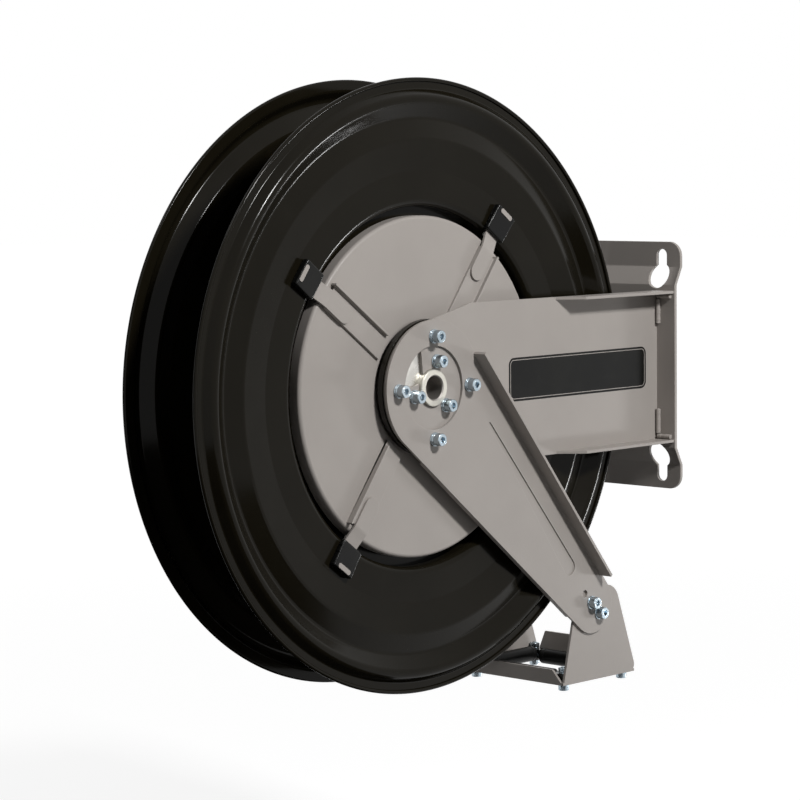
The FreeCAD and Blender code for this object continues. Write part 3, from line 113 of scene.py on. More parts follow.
class Graph:
    """Node tree of a material or world, with short ways to add and join its nodes."""

    def __init__(self, owner: bpy.types.ID) -> None:
        """Start with an empty tree.

        Args:
            owner: the material or world.
        """
        self.owner = owner
        owner.use_nodes = True
        self.tree = owner.node_tree
        self.tree.nodes.clear()

    @cached_property
    def coords(self) -> bpy.types.NodeSocket:
        """The object's own coordinates."""
        return self.node("ShaderNodeTexCoord").outputs["Object"]

    def node(self, kind: str, **settings: object) -> bpy.types.Node:
        """Add a node.

        Args:
            kind: Blender's identifier of the node.
            **settings: properties set on it.

        Returns:
            The node.
        """
        made = self.tree.nodes.new(kind)
        for key, value in settings.items():
            setattr(made, key, value)
        return made

    def join(self, source: object, target: bpy.types.NodeSocket) -> None:
        """Link an output to an input, or set the input to a plain value.

        Args:
            source: output socket or value.
            target: input socket.
        """
        if isinstance(source, bpy.types.NodeSocket):
            self.tree.links.new(source, target)
        else:
            target.default_value = source

    def show(self, shader: bpy.types.NodeSocket, kind: str = "Material") -> None:
        """Join a shader to the tree's output.

        Args:
            shader: the shader.
            kind: Material or World.
        """
        output = self.node("ShaderNodeOutput" + kind)
        self.join(shader, output.inputs["Surface"])

    def noise(self, scale: float, detail: float = 3.0,
              stretch: tuple = (1.0, 1.0, 1.0)) -> bpy.types.NodeSocket:
        """Noise on the object's own coordinates.

        Args:
            scale: how fine the noise is, per metre.
            detail: octaves.
            stretch: scale along each axis.

        Returns:
            The noise value.
        """
        mapping = self.node("ShaderNodeMapping")
        mapping.inputs["Scale"].default_value = stretch
        self.join(self.coords, mapping.inputs["Vector"])
        made = self.node("ShaderNodeTexNoise")
        made.inputs["Scale"].default_value = scale
        made.inputs["Detail"].default_value = detail
        self.join(mapping.outputs["Vector"], made.inputs["Vector"])
        return made.outputs["Fac"]

    def math(self, kind: str, first: object, second: object = 0.0) -> bpy.types.NodeSocket:
        """Arithmetic on two values.

        Args:
            kind: the operation.
            first: value or socket.
            second: value or socket.

        Returns:
            The result.
        """
        made = self.node("ShaderNodeMath", operation=kind)
        self.join(first, made.inputs[0])
        self.join(second, made.inputs[1])
        return made.outputs[0]

    def ramp(self, value: bpy.types.NodeSocket, low: float, high: float, out_low: float,
             out_high: float) -> bpy.types.NodeSocket:
        """Map a value from one range to another, held at the ends.

        Args:
            value: the value.
            low: start of its range.
            high: end of its range.
            out_low: result at the start.
            out_high: result at the end.

        Returns:
            The mapped value.
        """
        made = self.node("ShaderNodeMapRange")
        self.join(value, made.inputs["Value"])
        ends = {"From Min": low, "From Max": high, "To Min": out_low, "To Max": out_high}
        for key, number in ends.items():
            made.inputs[key].default_value = number
        return made.outputs["Result"]

    def blend(self, amount: object, first: object, second: object) -> bpy.types.NodeSocket:
        """Mix two colours.

        Args:
            amount: share of the second colour.
            first: colour or socket.
            second: colour or socket.

        Returns:
            The mixed colour.
        """
        made = self.node("ShaderNodeMix", data_type="RGBA")
        self.join(amount, made.inputs[0])
        self.join(first, made.inputs[6])
        self.join(second, made.inputs[7])
        return made.outputs[2]

    def radius(self) -> bpy.types.NodeSocket:
        """Distance of the surface point from the axle line.

        Returns:
            The distance in metres.
        """
        parts = self.node("ShaderNodeSeparateXYZ")
        self.join(self.coords, parts.inputs[0])
        y = self.math("SUBTRACT", parts.outputs["Y"], AXLE.y)
        z = self.math("SUBTRACT", parts.outputs["Z"], AXLE.z)
        squares = self.math("ADD", self.math("MULTIPLY", y, y), self.math("MULTIPLY", z, z))
        return self.math("SQRT", squares)

    def bump(self, height: bpy.types.NodeSocket, depth: float,
             below: bpy.types.NodeSocket) -> bpy.types.NodeSocket:
        """Bump of a real depth, on top of another normal.

        Args:
            height: height value from 0 to 1.
            depth: depth in metres.
            below: normal that it is laid on.

        Returns:
            The normal.
        """
        made = self.node("ShaderNodeBump")
        made.inputs["Strength"].default_value = 1.0
        made.inputs["Distance"].default_value = depth
        self.join(height, made.inputs["Height"])
        self.join(below, made.inputs["Normal"])
        return made.outputs["Normal"]

    def rounded(self, radius: float) -> bpy.types.NodeSocket:
        """Normal that rounds sharp edges off.

        Args:
            radius: radius of the rounding in metres.

        Returns:
            The normal.
        """
        made = self.node("ShaderNodeBevel")
        made.samples = 4
        made.inputs["Radius"].default_value = radius
        return made.outputs["Normal"]

    def edges(self, rounded: bpy.types.NodeSocket) -> bpy.types.NodeSocket:
        """1 on outer edges and corners, 0 on flat surfaces.

        Args:
            rounded: the rounded normal.

        Returns:
            The mask.
        """
        geometry = self.node("ShaderNodeNewGeometry")
        dot = self.node("ShaderNodeVectorMath", operation="DOT_PRODUCT")
        self.join(geometry.outputs["Normal"], dot.inputs[0])
        self.join(rounded, dot.inputs[1])
        return self.ramp(dot.outputs["Value"], 0.96, 0.80, 0.0, 1.0)


@dataclass(frozen=True)
class Finish:
    """What one surface finish looks like."""

    slot: Slot
    colour: tuple
    second: tuple
    rough: float
    rough_spread: float
    metal: float
    pattern: Pattern
    pattern_scale: float
    pattern_depth: float
    specular: float = 0.5
    edge: float = 0.0004
    # Painted highlight: edges and corners are lightened towards this colour, by this share.
    edge_highlight_colour: tuple = ()
    edge_highlight_amount: float = 0.0
    dust: float = 0.0
    rim_radius: float = 0.0
    rim_colour: tuple = ()
    # Painted shade inside the bore: the colour turns darker within this radius of the axle.
    bore_radius: float = 0.0
    bore_shade_colour: tuple = ()

    def make(self) -> bpy.types.Material:
        """Build the material.

        Returns:
            The material.
        """
        graph = Graph(bpy.data.materials.new(self.slot.value))
        shader = graph.node("ShaderNodeBsdfPrincipled")
        rounded = graph.rounded(self.edge)
        graph.join(self._tone(graph, rounded), shader.inputs["Base Color"])
        graph.join(self._roughness(graph), shader.inputs["Roughness"])
        if self.pattern is Pattern.TURNED:
            fine = self._lines(graph)
        else:
            fine = graph.noise(self.pattern_scale, 2.0, self._stretch())
        graph.join(graph.bump(fine, self.pattern_depth, rounded), shader.inputs["Normal"])
        if self.rim_radius:
            graph.join(self._rim(graph, self.metal, 0.0), shader.inputs["Metallic"])
        else:
            shader.inputs["Metallic"].default_value = self.metal
        shader.inputs["Specular IOR Level"].default_value = self.specular
        graph.show(shader.outputs["BSDF"])
        return graph.owner

    def _rim(self, graph: Graph, inside: float, outside: float) -> bpy.types.NodeSocket:
        """Value that changes at the rim radius.

        Args:
            graph: the material's nodes.
            inside: value nearer the axle.
            outside: value further out.

        Returns:
            The value.
        """
        edge = self.rim_radius
        return graph.ramp(graph.radius(), edge - 0.0004, edge + 0.0004, inside, outside)

    def _tone(self, graph: Graph, rounded: bpy.types.NodeSocket) -> bpy.types.NodeSocket:
        """Colour with its slow variation, specks, painted edge highlight, rim and painted shade in the
        bore.

        Args:
            graph: the material's nodes.
            rounded: the rounded normal.

        Returns:
            The colour.
        """
        cloud = graph.ramp(graph.noise(14.0, 4.0), 0.3, 0.7, 0.0, 1.0)
        tone = graph.blend(cloud, (*self.colour, 1.0), (*self.second, 1.0))
        if self.dust > 0.0:
            specks = graph.ramp(graph.noise(900.0, 1.0), 0.66, 0.78, 0.0, self.dust)
            tone = graph.blend(specks, tone, (*DUST, 1.0))
        # Painted highlight: lighter colour along edges and corners, broken up by noise.
        if self.edge_highlight_amount > 0.0:
            broken = graph.ramp(graph.noise(160.0, 3.0), 0.35, 0.65, 0.35, 1.0)
            painted_edge_highlight = graph.math("MULTIPLY", graph.edges(rounded), broken)
            share = graph.math("MULTIPLY", painted_edge_highlight, self.edge_highlight_amount)
            tone = graph.blend(share, tone, (*self.edge_highlight_colour, 1.0))
        if self.rim_radius:
            tone = graph.blend(self._rim(graph, 0.0, 1.0), tone, (*self.rim_colour, 1.0))
        # Painted shade: darker colour inside the bore radius.
        if self.bore_radius:
            edge = self.bore_radius
            inside = graph.ramp(graph.radius(), edge - 0.0003, edge + 0.0003, 1.0, 0.0)
            tone = graph.blend(inside, tone, (*self.bore_shade_colour, 1.0))
        return tone

    def _roughness(self, graph: Graph) -> bpy.types.NodeSocket:
        """Roughness that drifts slowly, with faint wiped streaks.

        Args:
            graph: the material's nodes.

        Returns:
            The roughness.
        """
        drift = graph.ramp(graph.noise(38.0, 5.0), 0.3, 0.7, self.rough - self.rough_spread,
                           self.rough + self.rough_spread)
        streak = graph.ramp(graph.noise(60.0, 3.0, (1.0, 0.2, 1.6)), 0.55, 0.75, 0.0, self.rough_spread)
        return graph.math("ADD", drift, streak)

    def _stretch(self) -> tuple:
        """Direction of the fine texture."""
        return (1.0, 1.0, 6.0) if self.pattern is Pattern.PLATED else (1.0, 1.0, 1.0)

    def _lines(self, graph: Graph) -> bpy.types.NodeSocket:
        """Turning lines round the axle.

        Args:
            graph: the material's nodes.

        Returns:
            Their height.
        """
        wave = graph.node("ShaderNodeTexNoise")
        wave.noise_dimensions = "1D"
        wave.inputs["Detail"].default_value = 2.0
        wave.inputs["Scale"].default_value = 1.0
        graph.join(graph.math("MULTIPLY", graph.radius(), self.pattern_scale), wave.inputs["W"])
        return wave.outputs["Fac"]


GREY = (0.345, 0.317, 0.294)
GREY_DEEP = (0.322, 0.295, 0.273)
# Lighter grey, a painted highlight along the edges of the grey paints.
GREY_EDGE_HIGHLIGHT = (0.50, 0.47, 0.44)
BLACK = (0.0064, 0.0052, 0.0028)
BLACK_DEEP = (0.0082, 0.0068, 0.0040)
STEEL = (0.68, 0.67, 0.63)
DUST = (0.35, 0.34, 0.32)
WHITE = (1.0, 1.0, 1.0, 1.0)


@dataclass
class Finishes:
    """All finishes of the reel, one for each material slot of the record."""

    made: dict[str, bpy.types.Material] = field(default_factory=dict)

    @staticmethod
    def table() -> tuple[Finish, ...]:
        """The finishes, with lengths in metres and pattern scales per metre.

        Returns:
            One finish for each slot.
        """
        peel, turned = Pattern.ORANGE_PEEL, Pattern.TURNED
        plated, moulded = Pattern.PLATED, Pattern.MOULDED
        return (
            # The grey paints' lighter edge tone is a painted highlight.
            Finish(Slot.GREY_PAINT, GREY, GREY_DEEP, 0.38, 0.04, 0.0, peel, 900.0, 0.00006,
                   specular=0.22, edge_highlight_colour=GREY_EDGE_HIGHLIGHT, edge_highlight_amount=0.5),
            Finish(Slot.DISC_PAINT, GREY, GREY_DEEP, 0.40, 0.04, 0.0, peel, 900.0, 0.00007,
                   specular=0.25, edge_highlight_colour=GREY_EDGE_HIGHLIGHT, edge_highlight_amount=0.4),
            Finish(Slot.BLACK_PAINT, BLACK, BLACK_DEEP, 0.14, 0.02, 0.0, peel, 260.0, 0.0000015,
                   specular=0.09, edge=0.0, dust=0.01),
            # Zinc's near-white edge tone is a painted highlight on the end rings of the screw heads.
            Finish(Slot.ZINC, (0.50, 0.57, 0.62), (0.32, 0.40, 0.46), 0.22, 0.05, 1.0, plated,
                   1800.0, 0.00003, edge=0.0011, edge_highlight_colour=(0.92, 0.98, 1.0), edge_highlight_amount=1.0),
            Finish(Slot.BLACK_PLASTIC, (0.005, 0.005, 0.005), (0.008, 0.008, 0.007), 0.16, 0.04, 0.0,
                   moulded, 2500.0, 0.00002, specular=0.14),
            Finish(Slot.ROLLER_PLASTIC, (0.007, 0.007, 0.007), (0.011, 0.011, 0.010), 0.36, 0.06, 0.0,
                   moulded, 2500.0, 0.00005, specular=0.10),
            # Machined steel's lighter edge tone is a painted highlight.
            Finish(Slot.MACHINED_STEEL, (0.58, 0.56, 0.50), (0.51, 0.49, 0.44), 0.42, 0.05, 0.75,
                   turned, 2500.0, 0.00004, edge_highlight_colour=(0.9, 0.88, 0.82), edge_highlight_amount=0.5,
                   # The darker bore colour is painted shade in the inlet bore and its thread.
                   bore_radius=0.0134, bore_shade_colour=(0.32, 0.30, 0.28)),
            Finish(Slot.HUB_FLANGE_STEEL, STEEL, (0.54, 0.52, 0.49), 0.27, 0.05, 1.0, turned,
                   2500.0, 0.00005, specular=0.3, rim_radius=0.0455, rim_colour=BLACK),
            Finish(Slot.BRASS, (0.72, 0.50, 0.22), (0.60, 0.40, 0.17), 0.27, 0.06, 1.0, turned,
                   2200.0, 0.00003),
            Finish(Slot.BRONZE, (0.50, 0.33, 0.16), (0.40, 0.26, 0.13), 0.40, 0.06, 1.0, turned,
                   1800.0, 0.00003),
            Finish(Slot.RUBBER, (0.018, 0.018, 0.018), (0.026, 0.026, 0.026), 0.70, 0.08, 0.0,
                   moulded, 3000.0, 0.00005, specular=0.3),
            Finish(Slot.SPRING_STEEL, (0.20, 0.23, 0.29), (0.30, 0.27, 0.25), 0.30, 0.06, 1.0,
                   plated, 1500.0, 0.00003),
        )

    def build(self) -> None:
        """Make every material."""
        for finish in self.table():
            self.made[finish.slot.value] = finish.make()

    def paint(self, piece: bpy.types.Object, slot: str) -> None:
        """Give a piece one finish.

        Args:
            piece: the piece.
            slot: name of the material slot.
        """
        piece.data.materials.clear()
        piece.data.materials.append(self.made[slot])

    def dress(self) -> None:
        """Give each CAD node the finish of its slot in the record."""
        for part in frame["record"]["subparts"]:
            self.paint(frame["nodes"][part["node"]], part["material_slot"])
            LOG.info("dressed %s in %s", part["node"], part["material_slot"])


FINISHES = Finishes()


# ---------------------------------------------------------------- modelling steps


@dataclass(frozen=True)
class Seat:
    """Box of one solid of a CAD node, in metres."""

    low: Vector
    high: Vector

    @property
    def middle(self) -> Vector:
        """Middle of the box."""
        return (self.low + self.high) / 2

    @property
    def side(self) -> int:
        """1 on the inlet side of the reel, -1 on the far side."""
        return INLET if self.middle.x > 0 else FAR


def seats_of(node: str) -> list[Seat]:
    """Boxes of the separate solids of a CAD node.

    Args:
        node: name of the node.

    Returns:
        One seat for each solid.
    """
    mesh = bmesh.new()
    mesh.from_mesh(frame["nodes"][node].data)
    bmesh.ops.remove_doubles(mesh, verts=mesh.verts, dist=1e-5)
    left, found = set(mesh.verts), []
    while left:
        reached, stack = set(), [next(iter(left))]
        while stack:
            vertex = stack.pop()
            if vertex not in reached:
                reached.add(vertex)
                stack += [edge.other_vert(vertex) for edge in vertex.link_edges]
        left -= reached
        corners = [Vector([pick(v.co[axis] for v in reached) for axis in range(3)]) for pick in (min, max)]
        found.append(Seat(*corners))
    mesh.free()
    return sorted(found, key=lambda seat: tuple(seat.middle))


def tangent_path(stops: Sequence[tuple], closed: bool = False) -> list[Vector]:
    """Line through corners (a, b) and tangent rounds (a, b, radius).

    Args:
        stops: corners and rounds; a positive radius turns left, a negative one right.
        closed: whether the last stop is joined to the first.

    Returns:
        Points of the line, with each round as an arc.
    """
    full = [(*stop, 0.0)[:3] for stop in stops]
    ring = full + full[:1] if closed else full
    lines = []
    for one, two in zip(ring, ring[1:]):
        step = Vector((two[0] - one[0], two[1] - one[1]))
        turn = math.atan2(step.y, step.x) - math.asin((two[2] - one[2]) / step.length)
        left = Vector((-math.sin(turn), math.cos(turn)))
        lines.append((Vector(one[:2]) - one[2] * left, Vector(two[:2]) - two[2] * left))
    path = [] if closed else [lines[0][0]]
    corners = zip(full, lines[-1:] + lines[:-1], lines) if closed else zip(full[1:-1], lines, lines[1:])
    for (a, b, radius), before, after in corners:
        if radius == 0.0:
            path.append(before[1])
            continue
        centre = Vector((a, b))
        first, last = before[1] - centre, after[0] - centre
        start, way = math.atan2(first.y, first.x), math.copysign(1.0, radius)
        sweep = (way * (math.atan2(last.y, last.x) - start)) % math.tau
        count = max(2, math.ceil(sweep / math.radians(11.0)))
        angles = [start + way * sweep * part / count for part in range(count + 1)]
        path += [centre + abs(radius) * Vector((math.cos(angle), math.sin(angle))) for angle in angles]
    return path if closed else path + [lines[-1][1]]


class Bench:
    """Modelling steps that the pieces share, each one done as by hand."""

    @staticmethod
    def idle() -> None:
        """Leave edit mode with nothing selected."""
        if bpy.context.mode != "OBJECT":
            bpy.ops.object.mode_set(mode="OBJECT")
        bpy.ops.object.select_all(action="DESELECT")

    @classmethod
    def take(cls, *pieces: bpy.types.Object) -> None:
        """Select some pieces and nothing else.

        Args:
            *pieces: the pieces; the first becomes the active one.
        """
        cls.idle()
        for piece in pieces:
            piece.select_set(True)
        bpy.context.view_layer.objects.active = pieces[0]

    @classmethod
    def edit(cls, piece: bpy.types.Object) -> None:
        """Open a piece in edit mode with all of it selected.

        Args:
            piece: the piece.
        """
        cls.take(piece)
        bpy.ops.object.mode_set(mode="EDIT")
        bpy.ops.mesh.select_all(action="SELECT")

    @classmethod
    def pick_points(cls, piece: bpy.types.Object, chosen: Callable) -> None:
        """Select points by a test, in edit mode.

        Args:
            piece: the piece.
            chosen: test of a point's place.
        """
        cls.edit(piece)
        bpy.ops.mesh.select_mode(type="VERT")
        bpy.ops.mesh.select_all(action="DESELECT")
        bpy.ops.object.mode_set(mode="OBJECT")
        for vertex in piece.data.vertices:
            vertex.select = chosen(vertex.co)
        bpy.ops.object.mode_set(mode="EDIT")

    @classmethod
    def trace(cls, name: str, points: Sequence[Vector], closed: bool = False) -> bpy.types.Object:
        """Line of edges drawn by extruding one point from place to place.

        Args:
            name: name of the piece.
            points: places in metres.
            closed: whether the line returns to its first point.

        Returns:
            The piece, in edit mode.
        """
        cls.idle()
        bpy.ops.mesh.primitive_plane_add(size=MM, location=points[0])
        piece = bpy.context.object
        piece.name = name
        bpy.ops.object.transform_apply(location=True, rotation=True, scale=True)
        cls.edit(piece)
        bpy.ops.mesh.select_mode(type="VERT")
        bpy.ops.mesh.merge(type="CENTER")
        way = list(points) + list(points[:1]) if closed else list(points)
        for here, there in zip(way, way[1:]):
            bpy.ops.mesh.extrude_region_move(TRANSFORM_OT_translate={"value": there - here})
        bpy.ops.mesh.select_all(action="SELECT")
        bpy.ops.mesh.remove_doubles(threshold=1e-6)
        return piece

    @classmethod
    def spun(cls, name: str, section: Sequence[Vector], steps: int, closed: bool = False,
             angle: float = math.tau) -> bpy.types.Object:
        """Section spun round the X axis.

        Args:
            name: name of the piece.
            section: points (along the axis, from the axis) in millimetres.
            steps: steps of the turn.
            closed: whether the section is a closed outline.
            angle: how far it is spun.

        Returns:
            The piece.
        """
        piece = cls.trace(name, [Vector((a, 0.0, b)) * MM for a, b in section], closed)
        bpy.ops.mesh.spin(steps=steps, angle=angle, center=(0.0, 0.0, 0.0), axis=(1.0, 0.0, 0.0))
        bpy.ops.mesh.select_all(action="SELECT")
        bpy.ops.mesh.remove_doubles(threshold=2e-6)
        bpy.ops.mesh.normals_make_consistent(inside=False)
        cls.idle()
        return piece

    @classmethod
    def prism(cls, name: str, outline: Sequence[Vector], low: float, thick: float) -> bpy.types.Object:
        """Flat outline in the YZ plane given a thickness along X.

        Args:
            name: name of the piece.
            outline: points (along Y, along Z) in millimetres.
            low: lower face along X.
            thick: thickness.

        Returns:
            The piece.
        """
        piece = cls.trace(name, [Vector((low, a, b)) * MM for a, b in outline], closed=True)
        bpy.ops.mesh.edge_face_add()
        bpy.ops.mesh.extrude_region_move(TRANSFORM_OT_translate={"value": (thick * MM, 0.0, 0.0)})
        bpy.ops.mesh.select_all(action="SELECT")
        bpy.ops.mesh.normals_make_consistent(inside=False)
        cls.idle()
        return piece

    @classmethod
    def block(cls, name: str, low: Sequence[float], high: Sequence[float]) -> bpy.types.Object:
        """Box between two corners, as the start of a piece.

        Args:
            name: name of the piece.
            low: lowest corner in millimetres.
            high: highest corner in millimetres.

        Returns:
            The piece.
        """
        cls.idle()
        low, high = Vector(low) * MM, Vector(high) * MM
        bpy.ops.mesh.primitive_cube_add(size=1.0, location=(low + high) / 2, scale=high - low)
        piece = bpy.context.object
        piece.name = name
        bpy.ops.object.transform_apply(location=True, rotation=True, scale=True)
        return piece

    @classmethod
    def cut(cls, piece: bpy.types.Object, tool: bpy.types.Object, kind: str = "DIFFERENCE") -> None:
        """Cut a piece with another, which is used up.

        Args:
            piece: the piece.
            tool: the piece that cuts.
            kind: DIFFERENCE, INTERSECT or UNION.
        """
        cls.take(piece)
        step = piece.modifiers.new("cut", "BOOLEAN")
        step.operation, step.object, step.solver = kind, tool, "EXACT"
        bpy.ops.object.modifier_apply(modifier=step.name)
        bpy.data.objects.remove(tool, do_unlink=True)

    @classmethod
    def thicken(cls, piece: bpy.types.Object, thick: float, offset: float = 0.0) -> None:
        """Give a sheet its thickness.

        Args:
            piece: the piece.
            thick: thickness in millimetres.
            offset: -1 inwards, 0 both ways, 1 outwards.
        """
        cls.take(piece)
        step = piece.modifiers.new("sheet", "SOLIDIFY")
        step.thickness, step.offset, step.use_even_offset = thick * MM, offset, True
        bpy.ops.object.modifier_apply(modifier=step.name)

    @classmethod
    def soften(cls, piece: bpy.types.Object, width: float, rows: int = 2, angle: float = 32.0) -> None:
        """Round the sharp edges of a piece.

        Args:
            piece: the piece.
            width: width of the rounding in millimetres.
            rows: rows of faces in it.
            angle: edges that turn by more than this many degrees are rounded.
        """
        cls.take(piece)
        step = piece.modifiers.new("soft_edges", "BEVEL")
        step.width, step.segments = width * MM, rows
        step.limit_method, step.angle_limit = "ANGLE", math.radians(angle)
        bpy.ops.object.modifier_apply(modifier=step.name)

    @classmethod
    def round_edges(cls, piece: bpy.types.Object, radius: float, chosen: Callable) -> None:
        """Round the edges that run along a chosen direction.

        Args:
            piece: the piece.
            radius: radius in millimetres.
            chosen: test of an edge's direction.
        """
        cls.edit(piece)
        bpy.ops.mesh.select_mode(type="EDGE")
        bpy.ops.mesh.select_all(action="DESELECT")
        bpy.ops.object.mode_set(mode="OBJECT")
        points = piece.data.vertices
        for edge in piece.data.edges:
            one, two = (points[number].co for number in edge.vertices)
            edge.select = chosen((two - one).normalized())
        bpy.ops.object.mode_set(mode="EDIT")
        bpy.ops.mesh.bevel(offset=radius * MM, segments=6, affect="EDGES")
        cls.idle()

    @classmethod
    def join(cls, first: bpy.types.Object, *others: bpy.types.Object) -> bpy.types.Object:
        """Join pieces into the first one.

        Args:
            first: the piece that the others are joined to.
            *others: the other pieces.

        Returns:
            The joined piece.
        """
        cls.take(first, *others)
        bpy.ops.object.join()
        return first

    @classmethod
    def smooth(cls, piece: bpy.types.Object, angle: float = 34.0) -> None:
        """Shade a piece smooth, except across edges sharper than an angle in degrees."""
        cls.take(piece)
        bpy.ops.object.shade_smooth_by_angle(angle=math.radians(angle))

    @classmethod
    def settle(cls, piece: bpy.types.Object, slot: Slot, body: str, node: str,
               place: Matrix = Matrix.Identity(4)) -> bpy.types.Object:
        """Put a finished piece in its place, dress it and let it ride.

        Args:
            piece: the piece.
            slot: its material slot.
            body: body that carries it.
            node: CAD node that it stands for, or "" for an added piece.
            place: where it goes.

        Returns:
            The piece.
        """
        piece.data.transform(place)
        cls.smooth(piece)
        step = piece.modifiers.new("normals", "WEIGHTED_NORMAL")
        step.keep_sharp = True
        bpy.ops.object.modifier_apply(modifier=step.name)
        cls.idle()
        FINISHES.paint(piece, slot.value)
        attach(piece, body)
        if node:
            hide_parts(node)
        LOG.info("built %s, %d faces", piece.name, len(piece.data.polygons))
        return piece

    @classmethod
    def repeat(cls, pattern: bpy.types.Object, slot: Slot, body: str, node: str,
               places: Sequence[Matrix]) -> None:
        """Copy a pattern to each place, each copy with its own mesh; the pattern is used up.

        Args:
            pattern: the piece to copy.
            slot: material slot of the copies.
            body: body that carries them.
            node: CAD node that they stand for.
            places: where they go.
        """
        for number, place in enumerate(places, start=1):
            copy = pattern.copy()
            copy.data = pattern.data.copy()
            copy.name = "%s_%02d" % (pattern.name, number)
            bpy.context.scene.collection.objects.link(copy)
            cls.settle(copy, slot, body, node, place)
        bpy.data.objects.remove(pattern, do_unlink=True)


def facing(point: Vector, side: int, turn: float = 0.0) -> Matrix:
    """Place for a piece modelled along +X.

    Args:
        point: where its origin goes.
        side: 1 to leave it along +X, -1 to turn it to -X.
        turn: turn about its own axis, in degrees.

    Returns:
        The place.
    """
    flip = Matrix.Rotation(math.pi, 4, "Z") if side == FAR else Matrix.Identity(4)
    return Matrix.Translation(point) @ flip @ Matrix.Rotation(math.radians(turn), 4, "X")


def along_x(way: Vector) -> bool:
    """Whether an edge's direction is along X."""
    return abs(way.x) > 0.9


UPWARDS = Matrix.Rotation(-math.pi / 2, 4, "Y")
DOWNWARDS = Matrix.Rotation(math.pi / 2, 4, "Y")


# ---------------------------------------------------------------- drum


@dataclass
class DrumFlange:
    """Pressed drum flange with half of the drum core and a rolled lip.

    Each of the waves is how far it stands out from the face, its radius and the
    round of its bend, which is negative where the sheet bends towards the axle.
    """

    side: int
    node: str
    sheet: float = 1.8
    core: float = 185.5
    core_bend: float = 7.0
    face: float = 49.1
    waves: tuple = ((10.0, 220.0, -10.0), (-4.0, 252.0, 8.0), (4.0, 273.0, -6.0), (1.5, 292.0, 7.0),
                    (4.0, 304.5, -4.0))
    lip: float = 312.4
    curl: float = 1.3
    curl_start: float = 180.0
    curl_end: float = -70.0
    curl_parts: int = 9
    steps: int = 320

    def section(self) -> list[Vector]:
        """Middle line of the sheet, from the middle of the core to the end of the lip.

        Returns:
            Its points.
        """
        face, bend = self.face, self.core_bend
        pressed = [(face + out, radius, curve) for out, radius, curve in self.waves]
        line = tangent_path([(0.0, self.core), (face - bend, self.core + bend, bend), *pressed,
                             (face, self.lip)])
        centre = Vector((face + self.curl, self.lip))
        sweep = self.curl_end - self.curl_start
        for part in range(1, self.curl_parts + 1):
            angle = math.radians(self.curl_start + sweep * part / self.curl_parts)
            line.append(centre + self.curl * Vector((math.cos(angle), math.sin(angle))))
        return line

    def build(self) -> None:
        """Model the flange."""
        piece = Bench.spun("pressed_" + self.node, self.section(), self.steps)
        Bench.thicken(piece, self.sheet)
        Bench.settle(piece, Slot.BLACK_PAINT, "drum", self.node, facing(DRUM, self.side))


@dataclass
class SideDisc:
    """Dished disc that closes the side of the drum, with its bearing boss."""

    side: int
    node: str
    boss_low: float
    boss_high: float
    sheet: float = 2.0
    face: float = 49.0
    radius: float = 174.0
    dish: float = 12.0
    dish_radius: float = 65.0
    bend: float = 5.0
    rim_bend: float = 2.8
    rim_low: float = 36.0
    boss_radius: float = 30.0
    boss_bore: float = 24.0
    boss_edge: float = 0.8
    steps: int = 240
    boss_steps: int = 96

    def section(self) -> list[Vector]:
        """Middle line of the sheet, from the boss to the end of the rim.

        Returns:
            Its points.
        """
        floor, bend = self.face - self.dish, self.bend
        return tangent_path([
            (floor, self.boss_radius - 1.0), (floor + bend, self.dish_radius - bend, -bend),
            (self.face - bend, self.dish_radius + bend, bend),
            (self.face - self.rim_bend, self.radius - self.rim_bend, self.rim_bend),
            (self.rim_low, self.radius)])

    def build(self) -> None:
        """Model the disc and its boss."""
        disc = Bench.spun("pressed_" + self.node, self.section(), self.steps)
        Bench.thicken(disc, self.sheet)
        low, high, bore, edge = self.boss_low, self.boss_high, self.boss_bore, self.boss_edge
        ring = [(low, bore), (high, bore), (high, self.boss_radius - edge), (high - edge, self.boss_radius),
                (low, self.boss_radius)]
        boss = Bench.spun("boss", [Vector(point) for point in ring], self.boss_steps, closed=True)
        Bench.join(disc, boss)
        Bench.settle(disc, Slot.DISC_PAINT, "drum", self.node, facing(DRUM, self.side))


@dataclass
class Strap:
    """Strap from a spoke down to the flange, its outer end turned up through the cap."""

    sheet: float = 2.5
    face: float = 50.0
    width: float = 19.0
    shift: float = 4.0
    start: float = 131.0
    bend: float = 167.0
    drop: float = 3.0
    foot: float = 179.0
    end: float = 213.0
    hem_low: float = 209.7
    hem_high: float = 214.7
    hem_foot: float = 0.4
    hem_top: float = 58.2
    hem_round: float = 2.2
    crease: float = 1.6
    edge: float = 0.35

    def pattern(self) -> bpy.types.Object:
        """Model one strap along +Y.

        Returns:
            The strap.
        """
        half, nose = self.width / 2, self.start + self.width / 2
        outline = tangent_path([(self.end, self.shift - half), (self.end, self.shift + half),
                                (nose, self.shift, half)], closed=True)
        level = self.face + self.drop
        strap = Bench.trace("strap", [Vector((level, a, b)) * MM for a, b in outline], closed=True)
        bpy.ops.mesh.edge_face_add()
        for place in (self.bend, self.foot):
            bpy.ops.mesh.select_all(action="SELECT")
            bpy.ops.mesh.bisect(plane_co=(0.0, place * MM, 0.0), plane_no=(0.0, 1.0, 0.0))
        Bench.pick_points(strap, lambda spot: spot.y > (self.foot - 0.1) * MM)
        bpy.ops.transform.translate(value=(-self.drop * MM, 0.0, 0.0))
        bpy.ops.mesh.normals_make_consistent(inside=False)
        Bench.idle()
        if sum(flat.normal.x * flat.area for flat in strap.data.polygons) < 0.0:
            Bench.edit(strap)
            bpy.ops.mesh.flip_normals()
        Bench.soften(strap, self.crease, 3, 10.0)
        Bench.thicken(strap, self.sheet, 1.0)
        hem = Bench.block("hem", (self.face + self.hem_foot, self.hem_low, self.shift - half),
                          (self.hem_top, self.hem_high, self.shift + half))
        Bench.round_edges(hem, self.hem_round, along_x)
        Bench.cut(strap, hem, "UNION")
        Bench.soften(strap, self.edge)
        return strap


